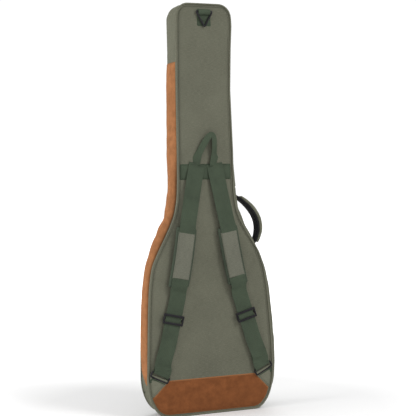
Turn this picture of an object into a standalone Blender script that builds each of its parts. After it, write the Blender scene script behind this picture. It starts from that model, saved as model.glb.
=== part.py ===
"""Padded gig bag for an electric bass: back shell, zipped front lid, rucksack straps and trim.

Metres, +Z up. The back panel with the straps faces -Y, the zipped front faces +Y and the side
handle is on +X. Soft pieces are plain solids here: the right size, in the right place.
"""
import bpy
import math
from mathutils import Matrix, Vector

GAP = 0.0003            # between pieces that touch
LIFT = 0.0058           # height of the panel outline's lowest point above the floor
# Side outline of the panels: half width and height, from the hips up to the neck.
SIDE = ((0.200, 0.110), (0.1985, 0.190), (0.195, 0.270), (0.1895, 0.350), (0.1835, 0.400),
        (0.1730, 0.450), (0.1515, 0.500), (0.1252, 0.550), (0.1025, 0.600), (0.0915, 0.650),
        (0.0880, 0.700), (0.0868, 0.800))
NECK = 0.0865           # half width of the neck at the top
HEIGHT = 1.250          # panel height
TOP_RADIUS = 0.036
CORNER = (0.140, 0.110, 0.060, 0.110)   # bottom corner ellipse: centre x, z, radius x, z
BACK_Y, FRONT_Y = -0.046, 0.046         # outer faces of the two panels
PANEL_T = 0.010
GUSSET_END = 0.029                      # where the gusset stops and the zip starts
BULGE = 0.0058          # how far the gusset stands proud of the panel outline
WALL = 0.006            # how far it reaches in
WEB = 0.050             # strap webbing width
WEB_T = 0.0018
# Strap line on the right half: yoke seam, pad top, pad bottom, ring.
STRAP_TOP, PAD_TOP, PAD_END, STRAP_END = (
    (0.0285, 0.762), (0.066, 0.567), (0.097, 0.392), (0.1655, 0.134))
RING = (0.169, 0.1215)
RING_TILT = math.radians(27)
FOLD = (0.100, 0.380)   # heights between which the lid folds instead of being zipped

OLIVE, GREEN, SUEDE, HIDE, BLACK = (
    (0.155, 0.152, 0.110), (0.065, 0.085, 0.055), (0.46, 0.18, 0.07), (0.19, 0.065, 0.024),
    (0.012, 0.011, 0.014))


def clear():
    for obj in list(bpy.data.objects):
        bpy.data.objects.remove(obj, do_unlink=True)


def make_collection(name):
    made = bpy.data.collections.new(name)
    bpy.context.scene.collection.children.link(made)
    return made


clear()
BAG = make_collection("padded_gig_bag")
CUTTERS = make_collection("cutters")


def finish(name, data, matrix, colour, rough, pivot=None, home=None):
    obj = bpy.data.objects.new(name, data)
    (home or BAG).objects.link(obj)
    obj.matrix_basis = matrix
    if pivot is not None:
        obj.parent = pivot
        obj.matrix_basis = Matrix.Translation(-pivot.location) @ matrix
    if colour is not None:
        mat = bpy.data.materials.new(name)
        mat.use_nodes = True
        shader = mat.node_tree.nodes["Principled BSDF"]
        shader.inputs["Base Color"].default_value = (*colour, 1)
        shader.inputs["Roughness"].default_value = rough
        data.materials.append(mat)
    return obj


def pivot_at(name, x, y, z):
    empty = bpy.data.objects.new(name, None)
    empty.empty_display_size = 0.02
    empty.location = (x, y, z)
    BAG.objects.link(empty)
    return empty


def axes(origin, along, across):
    """A frame at origin whose x and y directions are given; z completes it."""
    u, v = Vector(along).normalized(), Vector(across).normalized()
    w = u.cross(v)
    return Matrix.Translation(origin) @ Matrix((u, v, w)).transposed().to_4x4()


def facing_back(y=0.0, x=0.0, z=0.0):
    """Outline drawn in x and z; thickness runs along Y about the given y."""
    return axes((x, y, z), (1, 0, 0), (0, 0, 1))


def prism(name, loops, thick, matrix, colour, rough=0.9, pivot=None, home=None):
    curve = bpy.data.curves.new(name, "CURVE")
    curve.dimensions = "2D"
    curve.fill_mode = "BOTH"
    curve.extrude = thick / 2
    for loop in loops:
        spline = curve.splines.new("POLY")
        spline.points.add(len(loop) - 1)
        for point, (a, b) in zip(spline.points, loop):
            point.co = (a, b, 0, 1)
        spline.use_cyclic_u = True
    return finish(name, curve, matrix, colour, rough, pivot, home)


def between(name, loops, y0, y1, colour, rough=0.9, pivot=None):
    return prism(name, loops, y1 - y0, facing_back((y0 + y1) / 2), colour, rough, pivot)


def wire(name, points, radius, matrix, colour, rough=0.5, pivot=None, sides=1):
    curve = bpy.data.curves.new(name, "CURVE")
    curve.dimensions = "3D"
    curve.bevel_depth = radius
    curve.bevel_resolution = sides
    curve.use_fill_caps = True
    spline = curve.splines.new("POLY")
    spline.points.add(len(points) - 1)
    for point, (a, b) in zip(spline.points, points):
        point.co = (a, b, 0, 1)
    spline.use_cyclic_u = True
    return finish(name, curve, matrix, colour, rough, pivot)


def as_mesh(obj):
    """A mesh object in place of a curve, for a Boolean to work on."""
    mesh = bpy.data.meshes.new_from_object(
        obj.evaluated_get(bpy.context.evaluated_depsgraph_get()))
    name, matrix, pivot = obj.name, obj.matrix_basis.copy(), obj.parent
    home = obj.users_collection[0]
    bpy.data.objects.remove(obj, do_unlink=True)
    made = bpy.data.objects.new(name, mesh)
    mesh.name = name
    home.objects.link(made)
    made.parent = pivot
    made.matrix_basis = matrix
    weld = made.modifiers.new("weld", "WELD")
    weld.merge_threshold = 0.00001
    return made


def combine(obj, other, operation):
    """obj with another solid cut from it or joined to it."""
    base = obj if obj.type == "MESH" else as_mesh(obj)
    tool = other if other.type == "MESH" else as_mesh(other)
    tool.hide_render = True
    tool.display_type = "WIRE"
    for home in list(tool.users_collection):
        home.objects.unlink(tool)
    CUTTERS.objects.link(tool)
    step = base.modifiers.new(operation.lower(), "BOOLEAN")
    step.operation, step.solver, step.object = operation, "EXACT", tool
    return base


def box(name, matrix, size, colour=None, rough=0.9, pivot=None, home=None):
    a, b, c = size
    loop = [(-a / 2, -b / 2), (a / 2, -b / 2), (a / 2, b / 2), (-a / 2, b / 2)]
    return prism(name, [loop], c, matrix, colour, rough, pivot, home)


def rounded(width, height, radius, steps=3):
    loop = []
    for sx, sy, turn in ((1, 1, 0), (-1, 1, 90), (-1, -1, 180), (1, -1, 270)):
        cx, cy = sx * (width / 2 - radius), sy * (height / 2 - radius)
        for k in range(steps + 1):
            a = math.radians(turn + 90 * k / steps)
            loop.append((cx + radius * math.cos(a), cy + radius * math.sin(a)))
    return loop


def smooth(points):
    """The points with one more between each two, on a Catmull-Rom curve."""
    out = []
    for i, here in enumerate(points[:-1]):
        before, after = points[max(i - 1, 0)], points[i + 1]
        last = points[min(i + 2, len(points) - 1)]
        out.append(here)
        out.append(tuple((9 * (h + a) - b - f) / 16
                         for h, a, b, f in zip(here, after, before, last)))
    return out + [points[-1]]


def half_outline():
    """Right half of the panel outline, from the bottom centre to the top centre."""
    cx, cz, rx, rz = CORNER
    half = [(0.0, 0.0), (0.07, 0.0)]
    half += [(cx + rx * math.sin(math.radians(a)), cz - rz * math.cos(math.radians(a)))
             for a in range(0, 90, 15)]
    half += smooth(SIDE)
    half += [(0.0866, 1.0)]
    half += [(NECK - TOP_RADIUS * (1 - math.cos(math.radians(a))),
              HEIGHT - TOP_RADIUS * (1 - math.sin(math.radians(a)))) for a in range(0, 91, 18)]
    return half + [(0.0, HEIGHT)]


def full_outline():
    right = half_outline()
    return right + [(-x, z) for x, z in reversed(right[1:-1])]


RIM = full_outline()


def offset(loop, distance, cyclic=True):
    """The loop moved out by distance (in, when negative)."""
    out, n = [], len(loop)
    for i, (x, z) in enumerate(loop):
        before = loop[i - 1] if cyclic or i else loop[i]
        after = loop[(i + 1) % n] if cyclic or i < n - 1 else loop[i]
        d1 = (Vector((x, z)) - Vector(before))
        d2 = (Vector(after) - Vector((x, z)))
        d1 = d1.normalized() if d1.length > 1e-9 else d2.normalized()
        d2 = d2.normalized() if d2.length > 1e-9 else d1
        n1, n2 = Vector((d1.y, -d1.x)), Vector((d2.y, -d2.x))
        mid = (n1 + n2).normalized()
        out.append((x + mid.x * distance / max(mid.dot(n1), 0.5),
                    z + mid.y * distance / max(mid.dot(n1), 0.5)))
    return out


def cut_at(path, z):
    """The path's point where it crosses height z, as (index after, point)."""
    for i in range(1, len(path)):
        (x0, z0), (x1, z1) = path[i - 1], path[i]
        if (z0 - z) * (z1 - z) <= 0 and z0 != z1:
            t = (z - z0) / (z1 - z0)
            return i, (x0 + (x1 - x0) * t, z)
    return len(path), path[-1]


def stretch(start, end):
    """The rim from start up over the top and round to end, or on through the foot.

    Each of the two is (side, height), with side 1 for +X and -1 for -X.
    """
    half = len(RIM) // 2
    right, left = RIM[:half + 1], RIM[half:] + [RIM[0]]
    i0, p0 = cut_at(right if start[0] > 0 else left, start[1])
    i1, p1 = cut_at(right if end[0] > 0 else left, end[1])
    a = i0 if start[0] > 0 else half + i0
    b = i1 if end[0] > 0 else half + i1
    if b < a or (b == a and start[1] > end[1] and start[0] > 0):
        b += len(RIM)
    return [p0] + [RIM[k % len(RIM)] for k in range(a, b)] + [p1]


def strip(name, path, outer, inner, y0, y1, colour, rough=0.9, pivot=None):
    loop = offset(path, outer, False) + offset(path, inner, False)[::-1]
    return between(name, [loop], y0, y1, colour, rough, pivot)


# ---- shell: back panel, gusset and what is sewn to them ------------------------------------
def build_shell():
    between("back_panel", [RIM], BACK_Y, BACK_Y + PANEL_T, OLIVE)
    wire("back_piping", offset(RIM, 0.0030), 0.0026, facing_back(-0.0432), OLIVE)
    y0, y1 = BACK_Y + PANEL_T + GAP, GUSSET_END
    parts = (("gusset_neck", (1, 0.690), (-1, 0.690)), ("gusset_left", (-1, 0.690 - GAP),
             (-1, 0.064)), ("gusset_bottom", (-1, 0.064 - GAP), (1, 0.064 - GAP)),
             ("gusset_right", (1, 0.064), (1, 0.690 - GAP)))
    for name, start, end in parts:
        strip(name, stretch(start, end), BULGE, -WALL, y0, y1, OLIVE)
    strip("side_wear_strip", stretch((-1, 1.075), (-1, 0.088)), BULGE + GAP + 0.0008,
          BULGE + GAP, y0, y1, SUEDE, 0.95)
    zip_path = stretch((1, FOLD[1]), (1, FOLD[0]))
    strip("zip_tape_shell", zip_path, -0.0020, -0.0035, 0.0293, 0.0325, GREEN)
    strip("zip_teeth_shell", zip_path, -0.0002, -0.0017, 0.0303, 0.0329, BLACK, 0.5)


def build_bottom_patch():
    """Wear patch over the foot of the back panel, with its two corners cut off."""
    edge = offset(RIM, -0.0008)
    low = [p for p in edge if p[1] < 0.058]
    right = [p for p in low if p[0] >= 0]
    left = [p for p in low if p[0] < 0]
    loop = right + [(0.1895, 0.0585), (0.140, 0.1085), (-0.140, 0.1085), (-0.1895, 0.0585)] + left
    y1 = BACK_Y - GAP
    between("bottom_patch", [loop], y1 - 0.0014, y1, HIDE, 0.95)


def build_corner(side, word):
    """Corner patch, and the webbing tab with the loop that holds the strap's ring."""
    y1 = BACK_Y - GAP
    loop = [(side * x, z) for x, z in (
        (0.1955, 0.1325), (0.1530, 0.1030), (0.1415, 0.1105), (0.1400, 0.1098),
        (0.1905, 0.0600), (0.1945, 0.0760))]
    loop = [loop[0], loop[1], loop[3], loop[4], loop[5]]
    if side < 0:
        loop = loop[::-1]
    between("corner_patch_" + word, [loop], y1 - 0.0012, y1, OLIVE)
    # Tab: a folded webbing loop round the ring's lower bar.
    bar, along, down = ring_place(side)
    frame = axes(bar, down, (0, -1, 0))
    tab = box("ring_tab_" + word, frame, (0.0092, 0.0072, 0.044), GREEN)
    hole = prism("ring_tab_hole_" + word, [rounded(0.0058, 0.0058, 0.0028, 3)], 0.06, frame,
                 None, home=CUTTERS)
    combine(tab, hole, "DIFFERENCE")


def ring_place(side):
    """Where the ring's lower bar is, which way it runs and which way is down its tab."""
    down = Vector((side * math.sin(RING_TILT), 0, -math.cos(RING_TILT)))
    along = Vector((side * math.cos(RING_TILT), 0, math.sin(RING_TILT)))
    return Vector((side * RING[0], -0.0518, RING[1])) + down * 0.0085, along, down


def build_v_ring():
    y1 = BACK_Y - GAP
    between("v_ring_patch", [[(x, z + 1.211) for x, z in rounded(0.042, 0.046, 0.002, 1)]],
            y1 - 0.0014, y1, GREEN)
    bar = Vector((0.0, -0.0515, 1.2300))
    keeper = box("v_ring_keeper", axes(bar, (0, 0, 1), (0, -1, 0)), (0.0092, 0.0072, 0.032),
                 GREEN)
    hole = prism("v_ring_keeper_hole", [rounded(0.0058, 0.0058, 0.0028, 3)], 0.05,
                 axes(bar, (0, 0, 1), (0, -1, 0)), None, home=CUTTERS)
    combine(keeper, hole, "DIFFERENCE")
    pivot = pivot_at("v_ring_axis", *bar)
    corners = ((0.026, 0.0), (0.0285, -0.0030), (0.0035, -0.0440), (0.0, -0.0455),
               (-0.0035, -0.0440), (-0.0285, -0.0030), (-0.026, 0.0))
    wire("v_ring", corners, 0.0024, facing_back(bar.y, bar.x, bar.z), BLACK, 0.4, pivot, 2)


# ---- carrying: loop, handle, straps --------------------------------------------------------
def build_yoke():
    y1 = BACK_Y - GAP
    between("strap_yoke", [[(x, z + 0.739) for x, z in rounded(0.168, 0.049, 0.001, 1)]],
            y1 - WEB_T, y1, GREEN)
    foot = 0.7655
    pivot = pivot_at("hanging_loop_axis", 0.0, y1 - 0.0010, foot)
    outer = [(-0.046, foot), (0.041, foot), (0.036, 0.812), (0.027, 0.846), (0.015, 0.858),
             (-0.001, 0.856), (-0.018, 0.842), (-0.034, 0.812)]
    inner = [(-0.026, foot), (0.021, foot), (0.017, 0.808), (0.011, 0.830), (0.004, 0.836),
             (-0.005, 0.830), (-0.016, 0.808)]
    loop = [outer[0], inner[0], *inner[:1:-1], inner[1], *outer[1:]]
    between("hanging_loop", [loop], y1 - WEB_T, y1, GREEN, 0.9, pivot)


def arc_band(name, foot, peak, top, inner, outer, ends, wide, colour, pivot):
    """A band bowed out through three points in x and z, between two offsets of that curve."""
    points = []
    for k in range(13):
        t = ends[0] + (ends[1] - ends[0]) * k / 12
        a, b, c = (1 - t) ** 2, 2 * t * (1 - t), t * t
        mid = [2 * p - (s + e) / 2 for s, p, e in zip(foot, peak, top)]
        points.append(tuple(a * s + b * m + c * e for s, m, e in zip(foot, mid, top)))
    loop = offset(points, outer, False) + offset(points, inner, False)[::-1]
    return prism(name, [loop], wide, facing_back(0.0), colour, 0.9, pivot)


def build_handle():
    """Side handle on the +X gusset, sewn at both ends."""
    strip("handle_anchor_top", stretch((1, 0.650), (1, 0.682)), BULGE + 0.0018,
          BULGE + GAP, -0.014, 0.014, GREEN)
    strip("handle_anchor_foot", stretch((1, 0.495), (1, 0.530)), BULGE + 0.0018,
          BULGE + GAP, -0.014, 0.014, GREEN)
    pivot = pivot_at("side_handle_axis", 0.1355, 0.0, 0.585)
    curve = ((0.1640, 0.5060), (0.1790, 0.5850), (0.1070, 0.6640))
    arc_band("handle_core", *curve, -0.0040, 0.0040, (0.0, 1.0), 0.026, BLACK, pivot)
    arc_band("handle_cover", *curve, 0.0040 + GAP, 0.0150, (0.10, 0.86), 0.038, OLIVE, pivot)


def strap_matrix(side, top, end, y):
    """Frame at the middle of a strap piece: x along the strap, y out from the back."""
    a, b = (Vector((side * p[0], y, p[1])) for p in (top, end))
    return axes((a + b) / 2, b - a, (0, -1, 0)), (b - a).length


def build_strap(side, word):
    pivot = pivot_at("strap_axis_" + word, side * STRAP_TOP[0], -0.0500, STRAP_TOP[1])
    flat, length = strap_matrix(side, STRAP_TOP, PAD_TOP, -0.0511)
    box("strap_upper_" + word, flat, (length - 0.006, WEB_T, WEB), GREEN, 0.9, pivot)
    a, b = (Vector((side * p[0], -0.0560, p[1])) for p in (PAD_TOP, PAD_END))
    length = (b - a).length
    face = axes((a + b) / 2, b - a, Vector((0, 1, 0)).cross(b - a))
    prism("shoulder_pad_" + word, [rounded(length, 0.064, 0.012)], 0.0135, face, GREEN, 0.95,
          pivot)
    a.y = b.y = -0.0560 - 0.00675 - GAP - 0.0007
    face = axes((a + b) / 2, b - a, Vector((0, 1, 0)).cross(b - a))
    prism("pad_sleeve_" + word, [rounded(length - 0.022, 0.048, 0.003, 2)], 0.0014, face, OLIVE,
          0.9, pivot)
    # Below the pad the webbing ends just over the ring, cut to the ring's slant.
    bar, along, down = ring_place(side)
    line = bar - down * (0.0170 + 0.0024 + 0.0008)
    a, b = (Vector((side * p[0], -0.0556, p[1])) for p in (PAD_END, STRAP_END))
    run = (b - a).normalized()
    across = run.cross(Vector((0, 1, 0)))
    loop = []
    for edge in (1, -1):
        head = a + run * 0.003 + across * edge * WEB / 2
        reach = (line - head).dot(down) / run.dot(down)
        ends = [head, head + run * reach]
        loop += [(p.x, p.z) for p in (ends if edge > 0 else ends[::-1])]
    prism("strap_lower_" + word, [loop], WEB_T, facing_back(-0.0556), GREEN, 0.9, pivot)
    # Three-bar slide: two bars in front of the webbing and one behind it.
    a, b = (Vector((side * p[0], -0.0556, p[1])) for p in (PAD_END, STRAP_END))
    centre = a + (b - a) * 0.385
    slide = pivot_at("adjuster_axis_" + word, *centre)
    face = axes(centre + Vector((0, -0.0030, 0)), b - a, Vector((0, 1, 0)).cross(b - a))
    frame = prism("adjuster_" + word, [rounded(0.030, 0.060, 0.004, 2),
                                       rounded(0.0165, 0.0512, 0.001, 1)[::-1]],
                  0.0034, face, BLACK, 0.4, slide)
    rear = box("adjuster_rear_" + word,
               axes(centre + Vector((0, 0.0026, 0)), b - a, Vector((0, 1, 0)).cross(b - a)),
               (0.0060, 0.0590, 0.0026), home=CUTTERS)
    frame = combine(frame, rear, "UNION")
    for end in (-1, 1):
        across = Vector((0, 1, 0)).cross(b - a).normalized()
        post = box("adjuster_post_%s_%d" % (word, end + 1),
                   axes(centre + across * end * 0.0278 + Vector((0, -0.0008, 0)), b - a, across),
                   (0.0220, 0.0036, 0.0080), home=CUTTERS)
        frame = combine(frame, post, "UNION")


def build_ring(side, word):
    """Rectangular ring whose lower bar sits in the corner tab's loop."""
    bar, along, down = ring_place(side)
    pivot = pivot_at("ring_axis_" + word, *bar)
    points = [(x, z + 0.0085) for x, z in rounded(0.0590, 0.0170, 0.0040, 2)]
    wire("strap_ring_" + word, points, 0.0024, axes(bar, along, -down), BLACK, 0.4, pivot, 2)


# ---- lid, pocket and zips ------------------------------------------------------------------
def build_lid():
    pivot = pivot_at("lid_axis", 0.2022, 0.0291, 0.240)
    between("front_panel", [offset(RIM, -0.004)], 0.0373, FRONT_Y, OLIVE, 0.9, pivot)
    wire("front_piping", offset(RIM, -0.0012), 0.0024, facing_back(0.0421), OLIVE, 0.9, pivot)
    zip_path = stretch((1, FOLD[1]), (1, FOLD[0]))
    strip("zip_tape_lid", zip_path, -0.0020, -0.0035, 0.0337, 0.0369, GREEN, 0.9, pivot)
    strip("zip_teeth_lid", zip_path, -0.0002, -0.0017, 0.0333, 0.0359, BLACK, 0.5, pivot)
    strip("lid_fold", stretch((1, FOLD[0] + 0.001), (1, FOLD[1] - 0.001)), -0.0005, -0.0035,
          0.0293, 0.0369, OLIVE, 0.9, pivot)
    centre, size = 0.215, (0.290, 0.290)
    ring = [[(x, z + centre) for x, z in rounded(*size, 0.030)],
            [(x, z + centre) for x, z in rounded(size[0] - 0.006, size[1] - 0.006, 0.027)][::-1]]
    between("pocket_gusset", ring, FRONT_Y + GAP, 0.0615, OLIVE, 0.9, pivot)
    between("pocket_panel", ring[:1], 0.0618, 0.0645, OLIVE, 0.9, pivot)
    top = centre + size[1] / 2
    box("pocket_zip_tape", axes((0, 0.0540, top + GAP + 0.0006), (1, 0, 0), (0, 1, 0)),
        (0.224, 0.013, 0.0012), GREEN, 0.9, pivot)
    box("pocket_zip_teeth", axes((0, 0.0540, top + 0.0018 + 0.0007), (1, 0, 0), (0, 1, 0)),
        (0.220, 0.005, 0.0014), BLACK, 0.5, pivot)
    return pivot, top


def build_slider(name, base, along, out, lid=None):
    """Zip slider at base, running along one way and standing out another, and its pull tab."""
    u, n = Vector(along), Vector(out)
    home = pivot_at(name + "_axis", *base)
    base = Vector(base)
    across = u.cross(n)
    plate = prism(name, [rounded(0.0130, 0.0068, 0.002, 2)], 0.0022,
                  axes(base + n * 0.0011, u, -across), BLACK, 0.35, home)
    arch = prism(name + "_arch", [[(-0.0056, 0.0004), (0.0056, 0.0004), (0.0056, 0.0056),
                                   (0.0046, 0.0066), (-0.0046, 0.0066), (-0.0056, 0.0056)],
                                  [(-0.0040, 0.0014), (-0.0040, 0.0052), (0.0040, 0.0052),
                                   (0.0040, 0.0014)]], 0.0030, axes(base, u, n), None,
                 home=CUTTERS)
    filler = box(name + "_filler", axes(base + n * 0.0011, u, -across), (0.0100, 0.0028, 0.0018),
                 home=CUTTERS)
    combine(combine(plate, arch, "UNION"), filler, "UNION")
    hinge = base + n * 0.0036 + u * -0.0004
    swing = pivot_at(name + "_pull_axis", *hinge)
    tab = [(a - 0.0158, b) for a, b in rounded(0.0328, 0.0068, 0.0025, 2)]
    hole = [(a - 0.0052, b) for a, b in rounded(0.0080, 0.0040, 0.0006, 1)][::-1]
    prism(name + "_pull", [tab, hole], 0.0015, axes(hinge, u, -across), BLACK, 0.35, swing)


def build_inside():
    between("end_pad", [[(-0.095, WALL + GAP), (0.095, WALL + GAP), (0.090, 0.030), (-0.090, 0.030)]],
            -0.0352, 0.0285, BLACK, 0.95)
    top = BACK_Y + PANEL_T + GAP
    profile = [(-0.064, top), (0.064, top), (0.064, -0.0150), (0.040, -0.0150),
               (0.028, -0.0240), (-0.028, -0.0240), (-0.040, -0.0150), (-0.064, -0.0150)]
    prism("neck_cradle", [profile], 0.060, axes((0, 0, 1.015), (1, 0, 0), (0, 1, 0)), GREEN, 0.95)
    pivot = pivot_at("neck_strap_axis", -0.0655, -0.0138, 1.015)
    box("neck_strap", axes((0, -0.0138, 1.015), (1, 0, 0), (0, 1, 0)), (0.128, 0.0016, 0.030),
        BLACK, 0.9, pivot)


build_shell()
build_bottom_patch()
build_v_ring()
build_yoke()
build_handle()
for SIDE_SIGN, WORD in ((-1, "left"), (1, "right")):
    build_corner(SIDE_SIGN, WORD)
    build_strap(SIDE_SIGN, WORD)
    build_ring(SIDE_SIGN, WORD)
LID, POCKET_TOP = build_lid()
build_slider("zip_slider_upper", (0.0871, 0.0331, 0.812), (0, 0, 1), (1, 0, 0))
build_slider("zip_slider_lower", (0.0880, 0.0331, 0.768), (0, 0, 1), (1, 0, 0))
build_slider("pocket_slider", (-0.095, 0.0540, POCKET_TOP + 0.0035), (-1, 0, 0), (0, 0, 1))
build_inside()
for top_level in list(BAG.objects) + list(CUTTERS.objects):
    if top_level.parent is None:
        top_level.location.z += LIFT
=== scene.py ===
"""Looks for the padded gig bag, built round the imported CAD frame. Metres, +Z up, back to -Y."""

import bpy
import bmesh
import math
import numpy as np
from mathutils import Matrix, Vector, geometry, noise


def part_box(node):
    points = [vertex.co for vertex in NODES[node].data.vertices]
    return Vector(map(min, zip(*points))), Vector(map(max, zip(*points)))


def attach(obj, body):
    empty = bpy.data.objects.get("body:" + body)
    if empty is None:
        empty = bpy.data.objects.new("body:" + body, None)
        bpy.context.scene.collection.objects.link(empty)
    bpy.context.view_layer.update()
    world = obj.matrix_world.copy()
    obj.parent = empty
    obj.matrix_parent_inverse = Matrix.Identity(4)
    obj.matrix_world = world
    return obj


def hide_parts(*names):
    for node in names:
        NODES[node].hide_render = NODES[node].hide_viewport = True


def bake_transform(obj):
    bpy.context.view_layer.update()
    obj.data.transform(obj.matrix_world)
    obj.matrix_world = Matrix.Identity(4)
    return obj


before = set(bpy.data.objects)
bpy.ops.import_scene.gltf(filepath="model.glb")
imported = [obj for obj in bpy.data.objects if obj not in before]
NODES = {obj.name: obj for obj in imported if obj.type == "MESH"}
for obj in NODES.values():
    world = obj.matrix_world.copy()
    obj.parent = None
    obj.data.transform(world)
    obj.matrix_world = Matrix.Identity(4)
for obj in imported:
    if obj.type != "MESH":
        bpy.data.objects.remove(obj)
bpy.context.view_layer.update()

# ---- the bag's own measures, the same as in part.py ---------------------------------------
LIFT = 0.0058
SIDE = ((0.200, 0.110), (0.1985, 0.190), (0.195, 0.270), (0.1895, 0.350), (0.1835, 0.400),
        (0.1730, 0.450), (0.1515, 0.500), (0.1252, 0.550), (0.1025, 0.600), (0.0915, 0.650),
        (0.0880, 0.700), (0.0868, 0.800))
NECK, HEIGHT, TOP_RADIUS = 0.0865, 1.250, 0.036
CORNER = (0.140, 0.110, 0.060, 0.110)
STRAP_TOP, PAD_TOP, PAD_END, STRAP_END = (
    (0.0285, 0.762), (0.066, 0.567), (0.097, 0.392), (0.1655, 0.134))
RING, RING_TILT = (0.169, 0.1215), math.radians(27)
FOLD = (0.100, 0.380)
WEB, WEB_T = 0.050, 0.0018


# ---- outline ------------------------------------------------------------------------------
def spline(points, parts=8, closed=False):
    """Catmull-Rom through the points, as an array."""
    p = [np.array(q, float) for q in points]
    n, out = len(p), []
    for i in range(n if closed else n - 1):
        if closed:
            a, b, c, d = p[i - 1], p[i], p[(i + 1) % n], p[(i + 2) % n]
        else:
            a, b, c, d = p[max(i - 1, 0)], p[i], p[i + 1], p[min(i + 2, n - 1)]
        for k in range(parts):
            t = k / parts
            out.append(0.5 * (2 * b + (c - a) * t + (2 * a - 5 * b + 4 * c - d) * t * t
                              + (3 * b - a - 3 * c + d) * t ** 3))
    if not closed:
        out.append(p[-1])
    return np.array(out)


def resample(points, step, closed=False):
    p = np.array(points, float)
    if closed:
        p = np.vstack([p, p[:1]])
    gap = np.linalg.norm(np.diff(p, axis=0), axis=1)
    run = np.concatenate([[0], np.cumsum(gap)])
    count = max(int(round(run[-1] / step)), 2)
    at = np.linspace(0, run[-1], count + 1)
    out = np.stack([np.interp(at, run, p[:, k]) for k in range(p.shape[1])], 1)
    return out[:-1] if closed else out


def half_rim():
    cx, cz, rx, rz = CORNER
    half = [(0.0, 0.0), (0.07, 0.0)]
    half += [(cx + rx * math.sin(math.radians(a)), cz - rz * math.cos(math.radians(a)))
             for a in range(0, 90, 5)]
    half += [tuple(q) for q in spline(SIDE, 6)]
    half += [(0.0866, 1.0)]
    half += [(NECK - TOP_RADIUS * (1 - math.cos(math.radians(a))),
              HEIGHT - TOP_RADIUS * (1 - math.sin(math.radians(a)))) for a in range(0, 91, 6)]
    return half + [(0.0, HEIGHT)]


def whole_rim():
    right = half_rim()
    loop = right + [(-x, z) for x, z in reversed(right[1:-1])]
    return resample([(x, z + LIFT) for x, z in loop], 0.0055, True)


RIM = whole_rim()
N = len(RIM)
RUN = np.concatenate([[0], np.cumsum(np.linalg.norm(np.roll(RIM, -1, 0) - RIM, axis=1))])
TOTAL = RUN[-1]


def rim_normals():
    t = np.roll(RIM, -1, 0) - np.roll(RIM, 1, 0)
    t /= np.linalg.norm(t, axis=1)[:, None]
    out = np.stack([t[:, 1], -t[:, 0]], 1)
    for _ in range(3):
        out = (np.roll(out, 1, 0) + 2 * out + np.roll(out, -1, 0)) / 4
    return out / np.linalg.norm(out, axis=1)[:, None]


RIM_N = rim_normals()


def on_rim(s):
    """(points, normals) of the rim at distances s round it from the middle of the foot."""
    s = np.mod(np.asarray(s, float), TOTAL)
    p = np.vstack([RIM, RIM[:1]])
    n = np.vstack([RIM_N, RIM_N[:1]])
    q = np.stack([np.interp(s, RUN, p[:, k]) for k in (0, 1)], 1)
    m = np.stack([np.interp(s, RUN, n[:, k]) for k in (0, 1)], 1)
    return q, m / np.linalg.norm(m, axis=1)[:, None]


def rim_at(side, z):
    """Distance round the rim to a height (measured as in part.py) on one side."""
    half = N // 2
    order = np.argsort(RIM[:, 1] + np.where(np.sign(RIM[:, 0]) == side, 0, 10))
    keep = [i for i in order if np.sign(RIM[i, 0]) == side]
    keep = sorted(keep, key=lambda i: RIM[i, 1])
    return float(np.interp(z + LIFT, RIM[keep, 1], RUN[keep])), half


def segment_distance(p, loop, closed=True):
    """Distance of each point to a polyline."""
    a = np.asarray(loop, float)
    b = np.roll(a, -1, 0) if closed else a[1:]
    a = a if closed else a[:-1]
    d = b - a
    out = np.full(len(p), 9.0)
    for lo in range(0, len(p), 4000):
        q = p[lo:lo + 4000]
        t = np.einsum("ijk,jk->ij", q[:, None] - a[None], d) / np.maximum((d * d).sum(1), 1e-12)
        near = a[None] + np.clip(t, 0, 1)[..., None] * d[None]
        out[lo:lo + 4000] = np.sqrt(((q[:, None] - near) ** 2).sum(2)).min(1)
    return out


def inside(p, loop):
    a = np.asarray(loop, float)
    b = np.roll(a, -1, 0)
    x, z = p[:, 0][:, None], p[:, 1][:, None]
    cross = (a[:, 1] > z) != (b[:, 1] > z)
    dz = np.where(b[:, 1] == a[:, 1], 1e-12, b[:, 1] - a[:, 1])
    return (cross & (x < (b[:, 0] - a[:, 0]) * (z - a[:, 1]) / dz + a[:, 0])).sum(1) % 2 == 1


def waves(p, scale, seed, stretch=(1, 1)):
    return np.array([noise.noise(Vector((x * stretch[0] / scale, z * stretch[1] / scale, seed)))
                     for x, z in p])


# How far the soft back leans sideways from the patterns, by height, at its left and right edge.
LEAN_Z = (0.05, 0.20, 0.27, 0.36, 0.46, 0.49, 0.53, 0.56, 0.62, 0.69, 0.80, 0.99, 1.12, 1.19, 1.22)
LEAN_L = (0.001, 0.0025, 0.002, 0, -0.003, -0.002, -0.0015, -0.0015, -0.0015, -0.0015, -0.0005,
          0.0010, 0.0030, 0.0045, 0.0060)
LEAN_R = (0.0025, 0.0035, 0.003, 0.0025, 0.0035, 0.006, 0.0025, 0, -0.0025, -0.002, -0.001,
          -0.005, 0.000, 0.0045, 0.003)


def lean(x, y, z):
    """Sideways lean at points of the shell: all of it at the back, none at the zip."""
    x, y, z = (np.asarray(v, float) for v in (x, y, z))
    half = np.interp(z - LIFT, [q[1] for q in SIDE], [q[0] for q in SIDE])
    k = np.clip(0.5 + 0.5 * x / half, 0, 1)
    left, right = np.interp(z - LIFT, LEAN_Z, LEAN_L), np.interp(z - LIFT, LEAN_Z, LEAN_R)
    w = np.clip((0.026 - y) / 0.050, 0, 1)
    return (left * (1 - k) + right * k) * w * w * (3 - 2 * w)


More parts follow.
